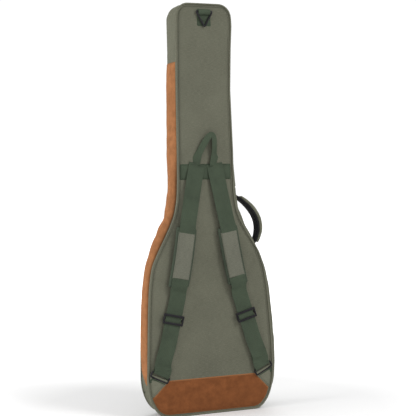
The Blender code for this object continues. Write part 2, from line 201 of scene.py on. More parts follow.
# Soft creases of the back panel: two ends, width and depth.
CREASES = (((-0.060, 1.222), (-0.030, 1.175), 0.010, 0.0010),
           ((0.055, 1.225), (0.072, 1.160), 0.009, 0.0011),
           ((0.030, 1.205), (0.070, 1.130), 0.014, 0.0008),
           ((-0.078, 0.930), (-0.020, 0.905), 0.016, 0.0007),
           ((0.080, 0.655), (0.035, 0.640), 0.010, 0.0012),
           ((0.150, 0.480), (0.125, 0.420), 0.009, 0.0016),
           ((0.172, 0.440), (0.140, 0.395), 0.010, 0.0015),
           ((0.185, 0.380), (0.150, 0.330), 0.012, 0.0009),
           ((-0.110, 0.570), (-0.130, 0.500), 0.010, 0.0010),
           ((-0.060, 0.300), (0.040, 0.270), 0.030, 0.0008))


def back_y(p):
    """The back panel's face at points (x, z): full in the middle, falling off to the seam."""
    p = np.asarray(p, float).reshape(-1, 2)
    d = segment_distance(p, RIM)
    d = np.where(inside(p, RIM), d, 0)
    e = np.clip(1 - d / 0.028, 0, 1)
    y = -0.0464 + 0.0074 * e ** 2.7
    fade = np.clip(d / 0.02, 0, 1)
    y += 0.0009 * waves(p, 0.115, 3.1, (1, 0.6)) * fade
    y += 0.0004 * waves(p, 0.035, 7.7) * fade
    pucker = np.sin(np.arctan2(p[:, 1] - 0.5, p[:, 0]) * 90) * 0.00025
    y += pucker * np.exp(-((d - 0.012) / 0.008) ** 2)
    for a, b, wide, deep in CREASES:
        seg = segment_distance(p, np.array([a, b]) + [0, LIFT], False)
        y += deep * np.exp(-(seg / wide) ** 2) * fade
    return y


def front_y(p):
    p = np.asarray(p, float).reshape(-1, 2)
    d = np.where(inside(p, RIM), segment_distance(p, RIM) - 0.004, 0)
    e = np.clip(1 - d / 0.030, 0, 1)
    fade = np.clip(d / 0.02, 0, 1)
    return (0.0462 - 0.0060 * e ** 2.6 - 0.0010 * waves(p, 0.12, 12.3, (1, 0.6)) * fade
            - 0.0004 * waves(p, 0.04, 17.7) * fade)


# ---- meshes -------------------------------------------------------------------------------
def new_mesh(name, verts, faces, uv=None, smooth=True):
    mesh = bpy.data.meshes.new(name)
    mesh.from_pydata([tuple(map(float, v)) for v in verts], [], faces)
    if uv is not None:
        layer = mesh.uv_layers.new(name="uv")
        index = np.empty(len(mesh.loops), int)
        mesh.loops.foreach_get("vertex_index", index)
        layer.data.foreach_set("uv", np.asarray(uv, np.float32)[index].ravel())
    mesh.validate()
    obj = bpy.data.objects.new(name, mesh)
    bpy.context.scene.collection.objects.link(obj)
    work = bmesh.new()
    work.from_mesh(mesh)
    bmesh.ops.recalc_face_normals(work, faces=work.faces)
    work.to_mesh(mesh)
    work.free()
    for poly in mesh.polygons:
        poly.use_smooth = smooth
    return obj


def grid(name, rows, wrap_i=False, wrap_j=False, caps=False, uv=None):
    """A surface through rows of points. It can close either way, and be capped at both ends."""
    p = np.asarray(rows, float)
    ni, nj = p.shape[:2]
    faces = []
    for i in range(ni if wrap_i else ni - 1):
        for j in range(nj if wrap_j else nj - 1):
            a, b = i, (i + 1) % ni
            c, d = j, (j + 1) % nj
            faces.append((a * nj + c, b * nj + c, b * nj + d, a * nj + d))
    if caps:
        faces.append(tuple(range(nj))[::-1])
        faces.append(tuple((ni - 1) * nj + j for j in range(nj)))
    if uv is None:
        v = np.concatenate([[0], np.cumsum(np.linalg.norm(np.diff(p.mean(1), axis=0), axis=1))])
        u = np.concatenate([[0], np.cumsum(np.linalg.norm(np.diff(p.mean(0), axis=0), axis=1))])
        uv = np.stack(np.broadcast_arrays(u[None, :], v[:, None]), -1)
    return new_mesh(name, p.reshape(-1, 3), faces, np.asarray(uv).reshape(-1, 2))


def floats(obj, name, values):
    layer = obj.data.attributes.new(name, "FLOAT", "POINT")
    layer.data.foreach_set("value", np.asarray(values, np.float32))


def patch(name, outline, face, spacing=0.006, spin=0.0, leans=True):
    """A fine surface filling an outline in x and z. face(points, depth) gives y."""
    edge = resample(outline, spacing * 0.8, True)
    low, high = edge.min(0), edge.max(0)
    xs = np.arange(low[0] + spacing / 2, high[0], spacing)
    zs = np.arange(low[1] + spacing / 2, high[1], spacing * 0.9)
    inner = np.array([(x + (spacing / 2 if k % 2 else 0), z) for k, z in enumerate(zs)
                      for x in xs])
    inner = inner[inside(inner, edge)]
    inner = inner[segment_distance(inner, edge) > spacing * 0.45]
    points = np.vstack([edge, inner])
    count = len(edge)
    out = geometry.delaunay_2d_cdt([Vector(q) for q in points.tolist()],
                                   [(i, (i + 1) % count) for i in range(count)],
                                   [], 1, 1e-6)
    p = np.array([tuple(q) for q in out[0]])
    faces = [tuple(f) for f in out[2]]
    d = segment_distance(p, edge)
    d[:count] = 0
    y = face(p, d)
    if leans:
        sideways = lean(p[:, 0], y, p[:, 1])
    else:
        sideways = 0
    uv = np.array([(x * math.cos(spin) + z * math.sin(spin),
                    z * math.cos(spin) - x * math.sin(spin)) for x, z in p])
    obj = new_mesh(name, np.stack([p[:, 0] + sideways, y, p[:, 1]], 1), faces, uv)
    floats(obj, "edge", d)
    return obj


def round_over(d, radius, power=2.0):
    """0 at an edge, rising to 1 at radius in from it, like a rounded shoulder."""
    return (1 - (1 - np.clip(d / radius, 0, 1)) ** power) ** (1 / power)


def applied(name, outline, thick, spin=0.0, spacing=0.005, under=None):
    """A flat piece sewn on the back panel: it follows the panel and whatever lies under it."""
    def face(p, d):
        base = back_y(p)
        if under is not None:
            base = base - under(p)
        return base + 0.0003 - (thick + 0.0003) * round_over(d, thick * 1.6)
    return patch(name, outline, face, spacing, spin)


def section(width, thick, soft=1.0, steps=4):
    """Cross-section of a flat band: straight faces and round edges."""
    r = thick / 2 * soft
    half, out = width / 2 - r, []
    for sx, sy, turn in ((1, 1, 0), (-1, 1, 90), (-1, -1, 180), (1, -1, 270)):
        for k in range(steps):
            a = math.radians(turn + 90 * k / (steps - 1))
            out.append((sx * half + r * math.cos(a), sy * (thick / 2 - r) + r * math.sin(a)))
        if sy * sx > 0:
            nxt = [half - 2 * half * k / 8 for k in range(1, 8)]
            out += [(sx * a, sy * thick / 2) for a in nxt]
    return out


def band(name, path, sides, width, thick, soft=1.0, closed=False):
    """A band swept along a path of 3-D points. sides is the direction of its width."""
    path = np.asarray(path, float)
    sides = np.asarray(sides, float)
    if sides.ndim == 1:
        sides = np.repeat(sides[None], len(path), 0)
    if closed:
        t = np.roll(path, -1, 0) - np.roll(path, 1, 0)
    else:
        t = np.gradient(path, axis=0)
    t /= np.linalg.norm(t, axis=1)[:, None]
    sides = sides - (sides * t).sum(1)[:, None] * t
    sides /= np.linalg.norm(sides, axis=1)[:, None]
    up = np.cross(t, sides)
    widths = np.broadcast_to(np.asarray(width, float), len(path))
    thicks = np.broadcast_to(np.asarray(thick, float), len(path))
    rows, uv = [], []
    run = np.concatenate([[0], np.cumsum(np.linalg.norm(np.diff(path, axis=0), axis=1))])
    for k in range(len(path)):
        sec = np.array(section(widths[k], thicks[k], soft))
        rows.append(path[k] + sec[:, :1] * sides[k] + sec[:, 1:] * up[k])
        uv.append(np.stack([sec[:, 0], np.full(len(sec), run[k])], 1))
    return grid(name, rows, closed, True, not closed, uv)


def tube(name, path, radius, closed=False, sides=10, wobble=0.0):
    path = np.asarray(path, float)
    t = np.roll(path, -1, 0) - np.roll(path, 1, 0) if closed else np.gradient(path, axis=0)
    t /= np.linalg.norm(t, axis=1)[:, None]
    ref = np.array((0.0, 1.0, 0.0))
    a = np.cross(t, ref)
    a /= np.maximum(np.linalg.norm(a, axis=1), 1e-9)[:, None]
    b = np.cross(t, a)
    rows, uv, run = [], [], 0
    for k in range(len(path)):
        r = radius * (1 + wobble * math.sin(k * 2.1))
        ring = [path[k] + r * (math.cos(q) * a[k] + math.sin(q) * b[k])
                for q in np.linspace(0, 2 * math.pi, sides, endpoint=False)]
        rows.append(ring)
        run += np.linalg.norm(path[k] - path[k - 1]) if k else 0
        uv.append([(2 * math.pi * radius * j / sides, run) for j in range(sides)])
    return grid(name, rows, closed, True, not closed, uv)


def rounded(width, height, radius, steps=5):
    loop = []
    for sx, sy, turn in ((1, 1, 0), (-1, 1, 90), (-1, -1, 180), (1, -1, 270)):
        for k in range(steps + 1):
            a = math.radians(turn + 90 * k / steps)
            loop.append((sx * (width / 2 - radius) + radius * math.cos(a),
                         sy * (height / 2 - radius) + radius * math.sin(a)))
    return loop


def axes(origin, along, across):
    u, v = Vector(along).normalized(), Vector(across).normalized()
    v = (v - u * v.dot(u)).normalized()
    return Matrix.Translation(Vector(origin)) @ Matrix((u, v, u.cross(v))).transposed().to_4x4()


def soft_boxes(name, boxes, radius=0.0008, segments=3):
    """One mesh of rounded blocks: each is (matrix, size)."""
    work = bmesh.new()
    for matrix, size in boxes:
        made = bmesh.ops.create_cube(work, size=1.0)["verts"]
        bmesh.ops.scale(work, vec=Vector(size), verts=made)
        edges = list({e for v in made for e in v.link_edges})
        bev = bmesh.ops.bevel(work, geom=edges, offset=min(radius, min(size) * 0.45),
                              segments=segments, profile=0.5, affect="EDGES")
        verts = list({v for f in bev["faces"] for v in f.verts})
        more = {v for v in verts}
        for v in verts:
            more |= {w for e in v.link_edges for w in e.verts}
        bmesh.ops.transform(work, matrix=matrix, verts=list(more))
    mesh = bpy.data.meshes.new(name)
    work.to_mesh(mesh)
    work.free()
    layer = mesh.uv_layers.new(name="uv")
    for loop in mesh.loops:
        co = mesh.vertices[loop.vertex_index].co
        layer.data[loop.index].uv = (co.x + co.y, co.z)
    for poly in mesh.polygons:
        poly.use_smooth = True
    obj = bpy.data.objects.new(name, mesh)
    bpy.context.scene.collection.objects.link(obj)
    return obj


def joined(a, b):
    """Both meshes in the first object."""
    bpy.ops.object.select_all(action="DESELECT")
    a.select_set(True)
    b.select_set(True)
    bpy.context.view_layer.objects.active = a
    bpy.ops.object.join()
    return a


# ---- stitching ----------------------------------------------------------------------------
THREADS = {}


def stitch(body, path, outward, pitch=0.0040, length=0.0029, radius=0.00042, closed=False,
           colour="thread_olive"):
    """A row of stitches lying on a path. outward is one direction, or one for each point."""
    path = np.asarray(path, float)
    outward = np.asarray(outward, float)
    if outward.ndim == 1:
        outward = np.repeat(outward[None], len(path), 0)
    both = resample(np.hstack([path, outward]), pitch, closed)
    p, n = both[:, :3], both[:, 3:]
    store = THREADS.setdefault((body, colour), ([], []))
    for k in range(len(p) - (0 if closed else 1)):
        t = p[(k + 1) % len(p)] - p[k]
        size = np.linalg.norm(t)
        if size < 1e-6:
            continue
        t /= size
        up = n[k] / np.linalg.norm(n[k])
        side = np.cross(t, up)
        base = len(store[0])
        for reach, r, lift in ((-0.5, 0.25, -0.3), (-0.32, 1, 0.5), (0.32, 1, 0.5),
                               (0.5, 0.25, -0.3)):
            mid = p[k] + t * (size / 2 + reach * length) + up * radius * lift
            for a in (0.785, 2.356, 3.927, 5.498):
                store[0].append(mid + radius * r * (math.cos(a) * side + math.sin(a) * up))
        for ring in range(3):
            for j in range(4):
                a, b = base + ring * 4 + j, base + ring * 4 + (j + 1) % 4
                store[1].append((a, b, b + 4, a + 4))
        store[1].append(tuple(base + j for j in (3, 2, 1, 0)))
        store[1].append(tuple(base + 12 + j for j in range(4)))


def on_back(points, proud):
    """Points (x, z) put on the back panel, a little proud of it."""
    p = np.asarray(points, float)
    y = back_y(p) - proud
    return np.stack([p[:, 0] + lean(p[:, 0], y, p[:, 1]), y, p[:, 1]], 1)


# ---- materials ----------------------------------------------------------------------------
def nodes_for(name, colour, rough, sheen=0.0, spec=0.3, tint=None):
    mat = bpy.data.materials.new(name)
    mat.use_nodes = True
    tree = mat.node_tree
    shader = tree.nodes["Principled BSDF"]
    shader.inputs["Base Color"].default_value = (*colour, 1)
    shader.inputs["Roughness"].default_value = rough
    shader.inputs["Specular IOR Level"].default_value = spec
    shader.inputs["Sheen Weight"].default_value = sheen
    shader.inputs["Sheen Roughness"].default_value = 0.5
    shader.inputs["Sheen Tint"].default_value = (*(tint or colour), 1)
    return mat, tree, shader


def node(tree, kind, inputs=None, **props):
    made = tree.nodes.new(kind)
    for key, value in props.items():
        setattr(made, key, value)
    for key, value in (inputs or {}).items():
        if hasattr(value, "is_output"):
            tree.links.new(value, made.inputs[key])
        else:
            made.inputs[key].default_value = value
    return made


def math_node(tree, operation, *values, clamp=False):
    made = tree.nodes.new("ShaderNodeMath")
    made.operation, made.use_clamp = operation, clamp
    for k, value in enumerate(values):
        if hasattr(value, "is_output"):
            tree.links.new(value, made.inputs[k])
        else:
            made.inputs[k].default_value = value
    return made.outputs[0]


def mix(tree, factor, a, b, blend="MIX"):
    made = tree.nodes.new("ShaderNodeMix")
    made.data_type, made.blend_type = "RGBA", blend
    for socket, value in ((made.inputs[0], factor), (made.inputs[6], a), (made.inputs[7], b)):
        if hasattr(value, "is_output"):
            tree.links.new(value, socket)
        else:
            socket.default_value = value if not isinstance(value, tuple) else (*value, 1)
    return made.outputs[2]


def laid_over(tree, base, factor, amount, colour):
    """The base with a colour laid over it, by the factor times the amount."""
    return mix(tree, math_node(tree, "MULTIPLY", factor, amount), base, colour)


def object_place(tree):
    return node(tree, "ShaderNodeTexCoord").outputs["Object"]


def attribute(tree, name):
    return node(tree, "ShaderNodeAttribute", attribute_name=name).outputs["Fac"]


def scaled(colour, k):
    return tuple(min(c * k, 1.0) for c in colour)


def noise_at(tree, where, scale, detail=3.0, rough=0.55):
    return node(tree, "ShaderNodeTexNoise", {"Vector": where, "Scale": scale, "Detail": detail,
                                             "Roughness": rough}).outputs["Fac"]


def ramp(tree, value, low, high):
    made = node(tree, "ShaderNodeMapRange", {"Value": value, "From Min": low, "From Max": high})
    return made.outputs["Result"]


def bump(tree, shader, height, strength, distance, before=None):
    made = node(tree, "ShaderNodeBump", {"Height": height, "Strength": strength,
                                         "Distance": distance})
    if before is not None:
        tree.links.new(before, made.inputs["Normal"])
    tree.links.new(made.outputs["Normal"], shader.inputs["Normal"])
    return made.outputs["Normal"]


def threads(tree, uv, period, turn, profile="SIN"):
    """Ridges of the given period along one direction of the uv map, in metres."""
    made = node(tree, "ShaderNodeTexWave", {"Vector": uv, "Scale": 0.31416 / period,
                                            "Distortion": 0.6, "Detail": 1.0,
                                            "Detail Scale": 2.0},
                wave_type="BANDS", bands_direction=turn, wave_profile=profile)
    return made.outputs["Fac"]


def fabric(name, colour, period=0.0016, rough=0.88, sheen=0.25, depth=0.0004, mottle=0.16,
           edge=None):
    """Heavy plain-weave cloth with slubs, faded folds, painted shade in seam grooves and, if asked,
    a worn sewn edge.
    """
    mat, tree, shader = nodes_for(name, colour, rough, sheen, 0.22, scaled(colour, 2.2))
    obj = object_place(tree)
    uv = node(tree, "ShaderNodeUVMap", uv_map="uv").outputs["UV"]
    warp = threads(tree, uv, period, "X")
    weft = threads(tree, uv, period * 1.1, "Y")
    over = math_node(tree, "MAXIMUM", warp, weft)
    holes = math_node(tree, "MULTIPLY", math_node(tree, "SUBTRACT", 1.0, warp),
                      math_node(tree, "SUBTRACT", 1.0, weft))
    cloudy = noise_at(tree, obj, 9.0, 4.0)
    slub = noise_at(tree, node(tree, "ShaderNodeMapping", {"Vector": uv,
                                                           "Scale": (90.0, 900.0, 1.0)}
                               ).outputs[0], 1.0, 2.0)
    grain = noise_at(tree, obj, 420.0, 2.0)
    base = mix(tree, ramp(tree, cloudy, 0.32, 0.68), scaled(colour, 1 - mottle),
               scaled(colour, 1 + mottle))
    base = mix(tree, ramp(tree, slub, 0.40, 0.75), base, scaled(colour, 1.35))
    base = laid_over(tree, base, ramp(tree, grain, 0.35, 0.75), 0.35, scaled(colour, 0.62))
    base = laid_over(tree, base, holes, 0.75, scaled(colour, 0.35))
    if edge is not None:
        depth_in = attribute(tree, "edge")
        worn = ramp(tree, depth_in, edge[0], 0.0)
        base = laid_over(tree, base, worn, edge[1], edge[2])
    # Painted shade: the cloth is darkened where the 'seam' attribute marks a seam groove.
    seam_shade = attribute(tree, "seam")
    base = laid_over(tree, base, seam_shade, 0.8, scaled(colour, 0.18))
    tree.links.new(base, shader.inputs["Base Color"])
    height = math_node(tree, "ADD", over, math_node(tree, "MULTIPLY", grain, 0.5))
    first = bump(tree, shader, noise_at(tree, obj, 38.0, 3.0), 0.25, 0.0016)
    bump(tree, shader, height, 0.55, depth, first)
    return mat


def webbing(name, colour, rough=0.78):
    """Flat nylon webbing: ribs across it and a fine herringbone."""
    mat, tree, shader = nodes_for(name, colour, rough, 0.3, 0.3, scaled(colour, 2.5))
    obj = object_place(tree)
    uv = node(tree, "ShaderNodeUVMap", uv_map="uv").outputs["UV"]
    ribs = threads(tree, uv, 0.0017, "Y")
    lines = threads(tree, uv, 0.0024, "X")
    slant = threads(tree, uv, 0.0042, "DIAGONAL")
    height = math_node(tree, "ADD", ribs, math_node(tree, "MULTIPLY", lines, 0.7))
    height = math_node(tree, "ADD", height, math_node(tree, "MULTIPLY", slant, 0.35))
    cloudy = noise_at(tree, obj, 22.0, 3.0)
    grain = noise_at(tree, obj, 500.0, 2.0)
    base = mix(tree, ramp(tree, cloudy, 0.3, 0.7), scaled(colour, 0.84), scaled(colour, 1.18))
    base = laid_over(tree, base, ramp(tree, height, 1.1, 0.3), 0.6, scaled(colour, 0.4))
    base = laid_over(tree, base, ramp(tree, grain, 0.45, 0.8), 0.4, scaled(colour, 1.6))
    tree.links.new(base, shader.inputs["Base Color"])
    bump(tree, shader, height, 0.6, 0.0004)
    return mat


def suede(name, colour, pale, edge_width=0.004, rough=0.96):
    """Napped leather: brushed light and dark patches, fine fibres, a paler turned edge and painted
    shade in seam grooves.
    """
    mat, tree, shader = nodes_for(name, colour, rough, 0.45, 0.12, scaled(colour, 2.0))
    obj = object_place(tree)
    nap = noise_at(tree, obj, 52.0, 6.0, 0.62)
    cloudy = noise_at(tree, obj, 8.0, 3.0)
    fibre = noise_at(tree, obj, 1300.0, 3.0, 0.7)
    base = mix(tree, ramp(tree, nap, 0.36, 0.66), scaled(colour, 0.80), scaled(colour, 1.22))
    base = laid_over(tree, base, ramp(tree, cloudy, 0.4, 0.7), 0.45, scaled(colour, 0.82))
    base = laid_over(tree, base, ramp(tree, fibre, 0.45, 0.7), 0.35, scaled(colour, 1.5))
    depth_in = attribute(tree, "edge")
    wobble = math_node(tree, "ADD", depth_in, math_node(
        tree, "MULTIPLY", math_node(tree, "SUBTRACT", nap, 0.5), edge_width * 0.8))
    worn = ramp(tree, wobble, edge_width, edge_width * 0.3)
    base = laid_over(tree, base, worn, 0.8, pale)
    # Painted shade: the suede is darkened where the 'seam' attribute marks a seam groove.
    seam_shade = attribute(tree, "seam")
    base = laid_over(tree, base, seam_shade, 0.8, scaled(colour, 0.15))
    tree.links.new(base, shader.inputs["Base Color"])
    first = bump(tree, shader, nap, 0.35, 0.0012)
    bump(tree, shader, fibre, 0.5, 0.0003, first)
    return mat


def plastic(name, colour, rough=0.38):
    mat, tree, shader = nodes_for(name, colour, rough, 0.0, 0.28)
    obj = object_place(tree)
    fine = noise_at(tree, obj, 900.0, 3.0)
    rub = noise_at(tree, obj, 70.0, 4.0)
    base = mix(tree, ramp(tree, rub, 0.5, 0.8), colour, scaled(colour, 2.2))
    tree.links.new(base, shader.inputs["Base Color"])
    tree.links.new(math_node(tree, "ADD", rough - 0.08, math_node(tree, "MULTIPLY", rub, 0.2)),
                   shader.inputs["Roughness"])
    bump(tree, shader, fine, 0.25, 0.0001)
    return mat


def plush(name, colour):
    """Short brushed lining with a quilted feel."""
    mat, tree, shader = nodes_for(name, colour, 0.97, 0.5, 0.1, scaled(colour, 3.0))
    obj = object_place(tree)
    pile = noise_at(tree, obj, 700.0, 3.0, 0.7)
    cloudy = noise_at(tree, obj, 30.0, 4.0)
    base = mix(tree, ramp(tree, cloudy, 0.35, 0.7), scaled(colour, 0.75), scaled(colour, 1.35))
    tree.links.new(base, shader.inputs["Base Color"])
    first = bump(tree, shader, cloudy, 0.3, 0.002)
    bump(tree, shader, pile, 0.6, 0.0005, first)
    return mat


OLIVE, GREEN = (0.126, 0.127, 0.092), (0.043, 0.060, 0.036)
M = {
    "olive_fabric": fabric("olive_fabric_woven", OLIVE),
    "olive_piping": fabric("olive_piping_bias", scaled(OLIVE, 1.12), 0.0011, depth=0.0003),
    "olive_patch": fabric("olive_patch_woven", scaled(OLIVE, 1.2),
                          edge=(0.004, 0.45, scaled(OLIVE, 1.5))),
    "sleeve": fabric("pad_sleeve_woven", (0.136, 0.138, 0.106), 0.0019,
                     edge=(0.005, 0.5, (0.10, 0.105, 0.08))),
    "pad": fabric("pad_mesh", (0.050, 0.064, 0.044), 0.0026, 0.95, 0.35, 0.0007, 0.2),
    "green_webbing": webbing("green_webbing_ribbed", GREEN),
    "tan_suede": suede("tan_suede_napped", (0.270, 0.116, 0.048), (0.20, 0.085, 0.034)),
    "brown_suede": suede("brown_suede_napped", (0.170, 0.060, 0.021), (0.31, 0.130, 0.052), 0.0055),
    "black_plastic": plastic("black_acetal", (0.005, 0.004, 0.006), 0.46),
    "teeth": plastic("zip_teeth_moulded", (0.020, 0.020, 0.018), 0.45),
    "black_foam": fabric("black_knit", (0.010, 0.010, 0.0105), 0.0013, 0.93, 0.15, 0.0004),
    "lining": plush("grey_plush_lining", (0.050, 0.050, 0.048)),
    "tape": fabric("zip_tape_woven", scaled(GREEN, 0.8), 0.0010, 0.9, 0.2, 0.0003),
    "thread_olive": fabric("thread_olive_waxed", scaled(OLIVE, 1.25), 0.0004, 0.7, 0.3, 0.0001),
    "thread_green": fabric("thread_green_waxed", scaled(GREEN, 1.7), 0.0004, 0.7, 0.3, 0.0001),
    "thread_tan": fabric("thread_tan_waxed", (0.36, 0.20, 0.10), 0.0004, 0.7, 0.3, 0.0001),
}


def dress(obj, material, body=None, replaces=()):
    obj.data.materials.clear()
    obj.data.materials.append(M[material])
    if body:
        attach(obj, body)
    if replaces:
        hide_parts(*replaces)
    return obj


# ---- shell --------------------------------------------------------------------------------
def rim_loop(out):
    return RIM + RIM_N * out


# Across the gusset from back to front: place, y, and how proud on the body and on the neck.
BELLY = np.array(((0.00, -0.0392, -0.05, -0.03), (0.04, -0.0378, 0.30, 0.10),
                  (0.08, -0.0360, 0.66, 0.22), (0.14, -0.0325, 0.93, 0.38),
                  (0.22, -0.0270, 1.04, 0.55), (0.36, -0.0175, 1.08, 0.76),
                  (0.50, -0.0075, 1.06, 0.92), (0.64, 0.0020, 1.02, 1.00),
                  (0.78, 0.0120, 0.94, 1.00), (0.88, 0.0195, 0.78, 0.88),
                  (0.95, 0.0250, 0.48, 0.58), (1.00, 0.0288, 0.06, 0.10),
                  (1.02, 0.0291, -0.10, -0.06)))
PROUD_Z = (0.02, 0.06, 0.09, 0.13, 0.20, 0.36, 0.44, 0.475, 0.50, 0.56, 0.64, 0.73, 0.80, 0.90,
           1.04, 1.08, 1.18, 1.215, 1.24)
PROUD_L = (-0.0030, -0.0050, -0.0030, 0.0025, 0.0082, 0.0105, 0.0118, 0.0142, 0.0175, 0.0225,
           0.0205, 0.0188, 0.0200, 0.0175, 0.0145, 0.0105, 0.0080, 0.0072, 0.0070)
PROUD_R = (0.0060, 0.0120, 0.0145, 0.0180, 0.0190, 0.0172, 0.0135, 0.0110, 0.0110, 0.0165,
           0.0165, 0.0165, 0.0165, 0.0110, 0.0080, 0.0080, 0.0070, 0.0070, 0.0070)


def belly(p):
    """How far the padded gusset stands proud at each place round the rim."""
    z = p[:, 1] - LIFT
    out = np.where(p[:, 0] < 0, np.interp(z, PROUD_Z, PROUD_L), np.interp(z, PROUD_Z, PROUD_R))
    foot = np.interp(np.abs(p[:, 0]), (0.10, 0.17), (0.0056, 0.0020))
    head = np.interp(np.abs(p[:, 0]), (0, 0.05), (0.0095, 0.0070))
    k = np.clip(1 - z / 0.02, 0, 1)
    out = out * (1 - k) + foot * k
    k = np.clip((z - 1.235) / 0.012, 0, 1)
    return out * (1 - k) + head * k


def gusset_rows(s, proud=0.0, first=0.0, last=1.02, fine=2, folds=1.0):
    ts = np.linspace(first, last, 12 * fine + 1)
    ys = np.interp(ts, BELLY[:, 0], BELLY[:, 1])
    shapes = [np.interp(ts, BELLY[:, 0], BELLY[:, k]) for k in (2, 3)]
    p, n = on_rim(s)
    amp = belly(p)
    neck = np.clip((p[:, 1] - 0.70) / 0.10, 0, 1)
    waist = np.exp(-((p[:, 1] - 0.60) / 0.10) ** 2)
    rows = np.zeros((len(s), len(ts), 3))
    for k in range(len(s)):
        for j, (t, y) in enumerate(zip(ts, ys)):
            f = shapes[0][j] * (1 - neck[k]) + shapes[1][j] * neck[k]
            here = Vector((s[k] * 26, y * 60, 1.7))
            slant = Vector((s[k] * 30 + y * 22, y * 9 - s[k] * 6, 4.2))
            fold = noise.noise(here) * 0.0012 + noise.noise(here * 2.3) * 0.0006
            fold += noise.noise(slant) * (0.0012 + 0.0034 * waist[k]) * folds
            b = amp[k] * f + fold * math.sin(math.pi * min(max(t, 0), 1)) ** 0.7
            b = max(b, float(np.interp(t, (0, 0.03, 0.06, 0.14, 0.30),
                                       (-0.0005, 0.0026, 0.0042, 0.0040, -0.01)))) + proud
            x, z = p[k] + n[k] * b
            rows[k, j] = x, y, max(z, 0.0002 + (0 if proud else 0.0006))
    rows[:, :, 0] += lean(rows[:, :, 0], rows[:, :, 1], rows[:, :, 2])
    return rows


def build_gusset():
    right_seam, _ = rim_at(1, 0.690)
    left_seam, _ = rim_at(-1, 0.690)
    right_low, _ = rim_at(1, 0.064)
    left_low, _ = rim_at(-1, 0.064)
    spans = (("gusset_neck", right_seam, left_seam), ("gusset_left", left_seam, left_low),
             ("gusset_right", right_low, right_seam),
             ("gusset_bottom", left_low, right_low + TOTAL))
    for name, a, b in spans:
        s = np.linspace(a, b, int((b - a) / 0.0055) + 2)
        rows = gusset_rows(s)
        p, n = on_rim(s)
        dip = np.exp(-((s - a) / 0.0022) ** 2) + np.exp(-((s - b) / 0.0022) ** 2)
        for k in range(len(s)):
            rows[k, :, 0] -= n[k][0] * dip[k] * 0.0016
            rows[k, :, 2] -= n[k][1] * dip[k] * 0.0016
        obj = grid(name + "_padded", rows)
        # These 'seam' values paint shade into the gusset cloth in the groove along the back piping.
        floats(obj, "seam", np.exp(-((rows[:, :, 1] + 0.0394) / 0.0022) ** 2).ravel())
        dress(obj, "olive_fabric", "shell", [name])
    for edge in (right_seam, left_seam):
        rows = gusset_rows(np.array([edge - 0.004, edge + 0.004]), 0.0004, 0.06, 0.95)
        for row, sign in zip(rows, (-1, 1)):
            q = np.array(row)
            side = 1 if q[0][0] > 0 else -1
            stitch("shell", q, (side, 0, 0))


def build_wear_strip():
    top, _ = rim_at(-1, 1.075)
    foot, _ = rim_at(-1, 0.086)
    s = np.linspace(top, foot, int((foot - top) / 0.004) + 1)
    rows = []
    for here in s:
        taper = min((foot - here) / 0.050, 1.0)
        mid = 0.40 + 0.095 * taper
        half = 0.475 * taper ** 0.8 + 0.010
        rows.append(gusset_rows(np.array([here]), 0.0011, max(mid - half, 0.022),
                                min(mid + half, 0.965))[0])
    rows = np.array(rows)
    count = rows.shape[1]
    away = np.minimum(np.arange(count), np.arange(count)[::-1]) * (0.066 / (count - 1))
    ends = np.minimum(s - top, foot - s)
    d = np.minimum(away[None, :], ends[:, None])
    p, n = on_rim(s)
    sink = 0.0011 * (1 - round_over(d, 0.0022))
    rows[:, :, 0] -= n[:, 0][:, None] * sink
    rows[:, :, 2] -= n[:, 1][:, None] * sink
    obj = grid("side_wear_strip_suede", rows)
    floats(obj, "edge", d.ravel() + 0.0005)
    # These 'seam' values paint shade into the suede where it meets the back piping.
    floats(obj, "seam", np.exp(-((rows[:, :, 1] + 0.0390) / 0.0016) ** 2).ravel())
    dress(obj, "tan_suede", "shell", ["side_wear_strip"])
    path = gusset_rows(np.array([top + 0.004]), 0.0012, 0.08, 0.94)[0]
    stitch("shell", path, (-1, 0, 0), colour="thread_tan")


def build_back():
    def face(p, d):
        return back_y(p)
    obj = patch("back_panel_padded", RIM, face, 0.0062)
    seam = np.empty(len(obj.data.vertices), np.float32)
    obj.data.attributes["edge"].data.foreach_get("value", seam)
    # These 'seam' values paint shade into the panel in the last few millimetres before the piping.
    floats(obj, "seam", np.exp(-(seam / 0.0030) ** 2))
    dress(obj, "olive_fabric", "shell", ["back_panel"])
    ring = rim_loop(0.0030)
    path = np.stack([ring[:, 0], np.full(N, -0.0432), ring[:, 1]], 1)
    path[:, 0] += lean(*path.T)
    path = resample(path, 0.0040, True)
    obj = tube("back_piping_cord", path, 0.0026, True, 10, 0.03)
    # The piping's cloth flange, sewn between the panel and the gusset, closes the seam.
    rows = []
    for out, y in ((-0.0040, -0.0412), (0.0010, -0.0418), (0.0022, -0.0405), (0.0006, -0.0380),
                   (-0.0015, -0.0370)):
        q = rim_loop(out)
        rows.append(np.stack([q[:, 0], np.full(N, y), q[:, 1]], 1))
    rows = np.stack(rows, 1)
    rows[:, :, 0] += lean(rows[..., 0], rows[..., 1], rows[..., 2])
    rows[:, :, 2] = np.maximum(rows[:, :, 2], 0.0003)
    joined(obj, grid("piping_flange", rows, wrap_i=True))
    dress(obj, "olive_piping", "shell", ["back_piping"])
    inner = rim_loop(-0.0052)
    inner = np.stack([inner[:, 0], back_y(inner) + 0.0001, inner[:, 1]], 1)
    inner[:, 0] += lean(*inner.T)
    stitch("shell", inner, (0, -1, 0), 0.0045, 0.0030, 0.00030, True)


def patch_outline():
    edge = rim_loop(-0.0012)
    top = 0.1085 + LIFT
    cut = 0.0585 + LIFT
    order = np.roll(np.arange(N), N // 2)
    low = [tuple(edge[i]) for i in order if edge[i, 1] < cut]
    return low + [(0.1895, cut), (0.1400, top), (-0.1400, top), (-0.1895, cut)]


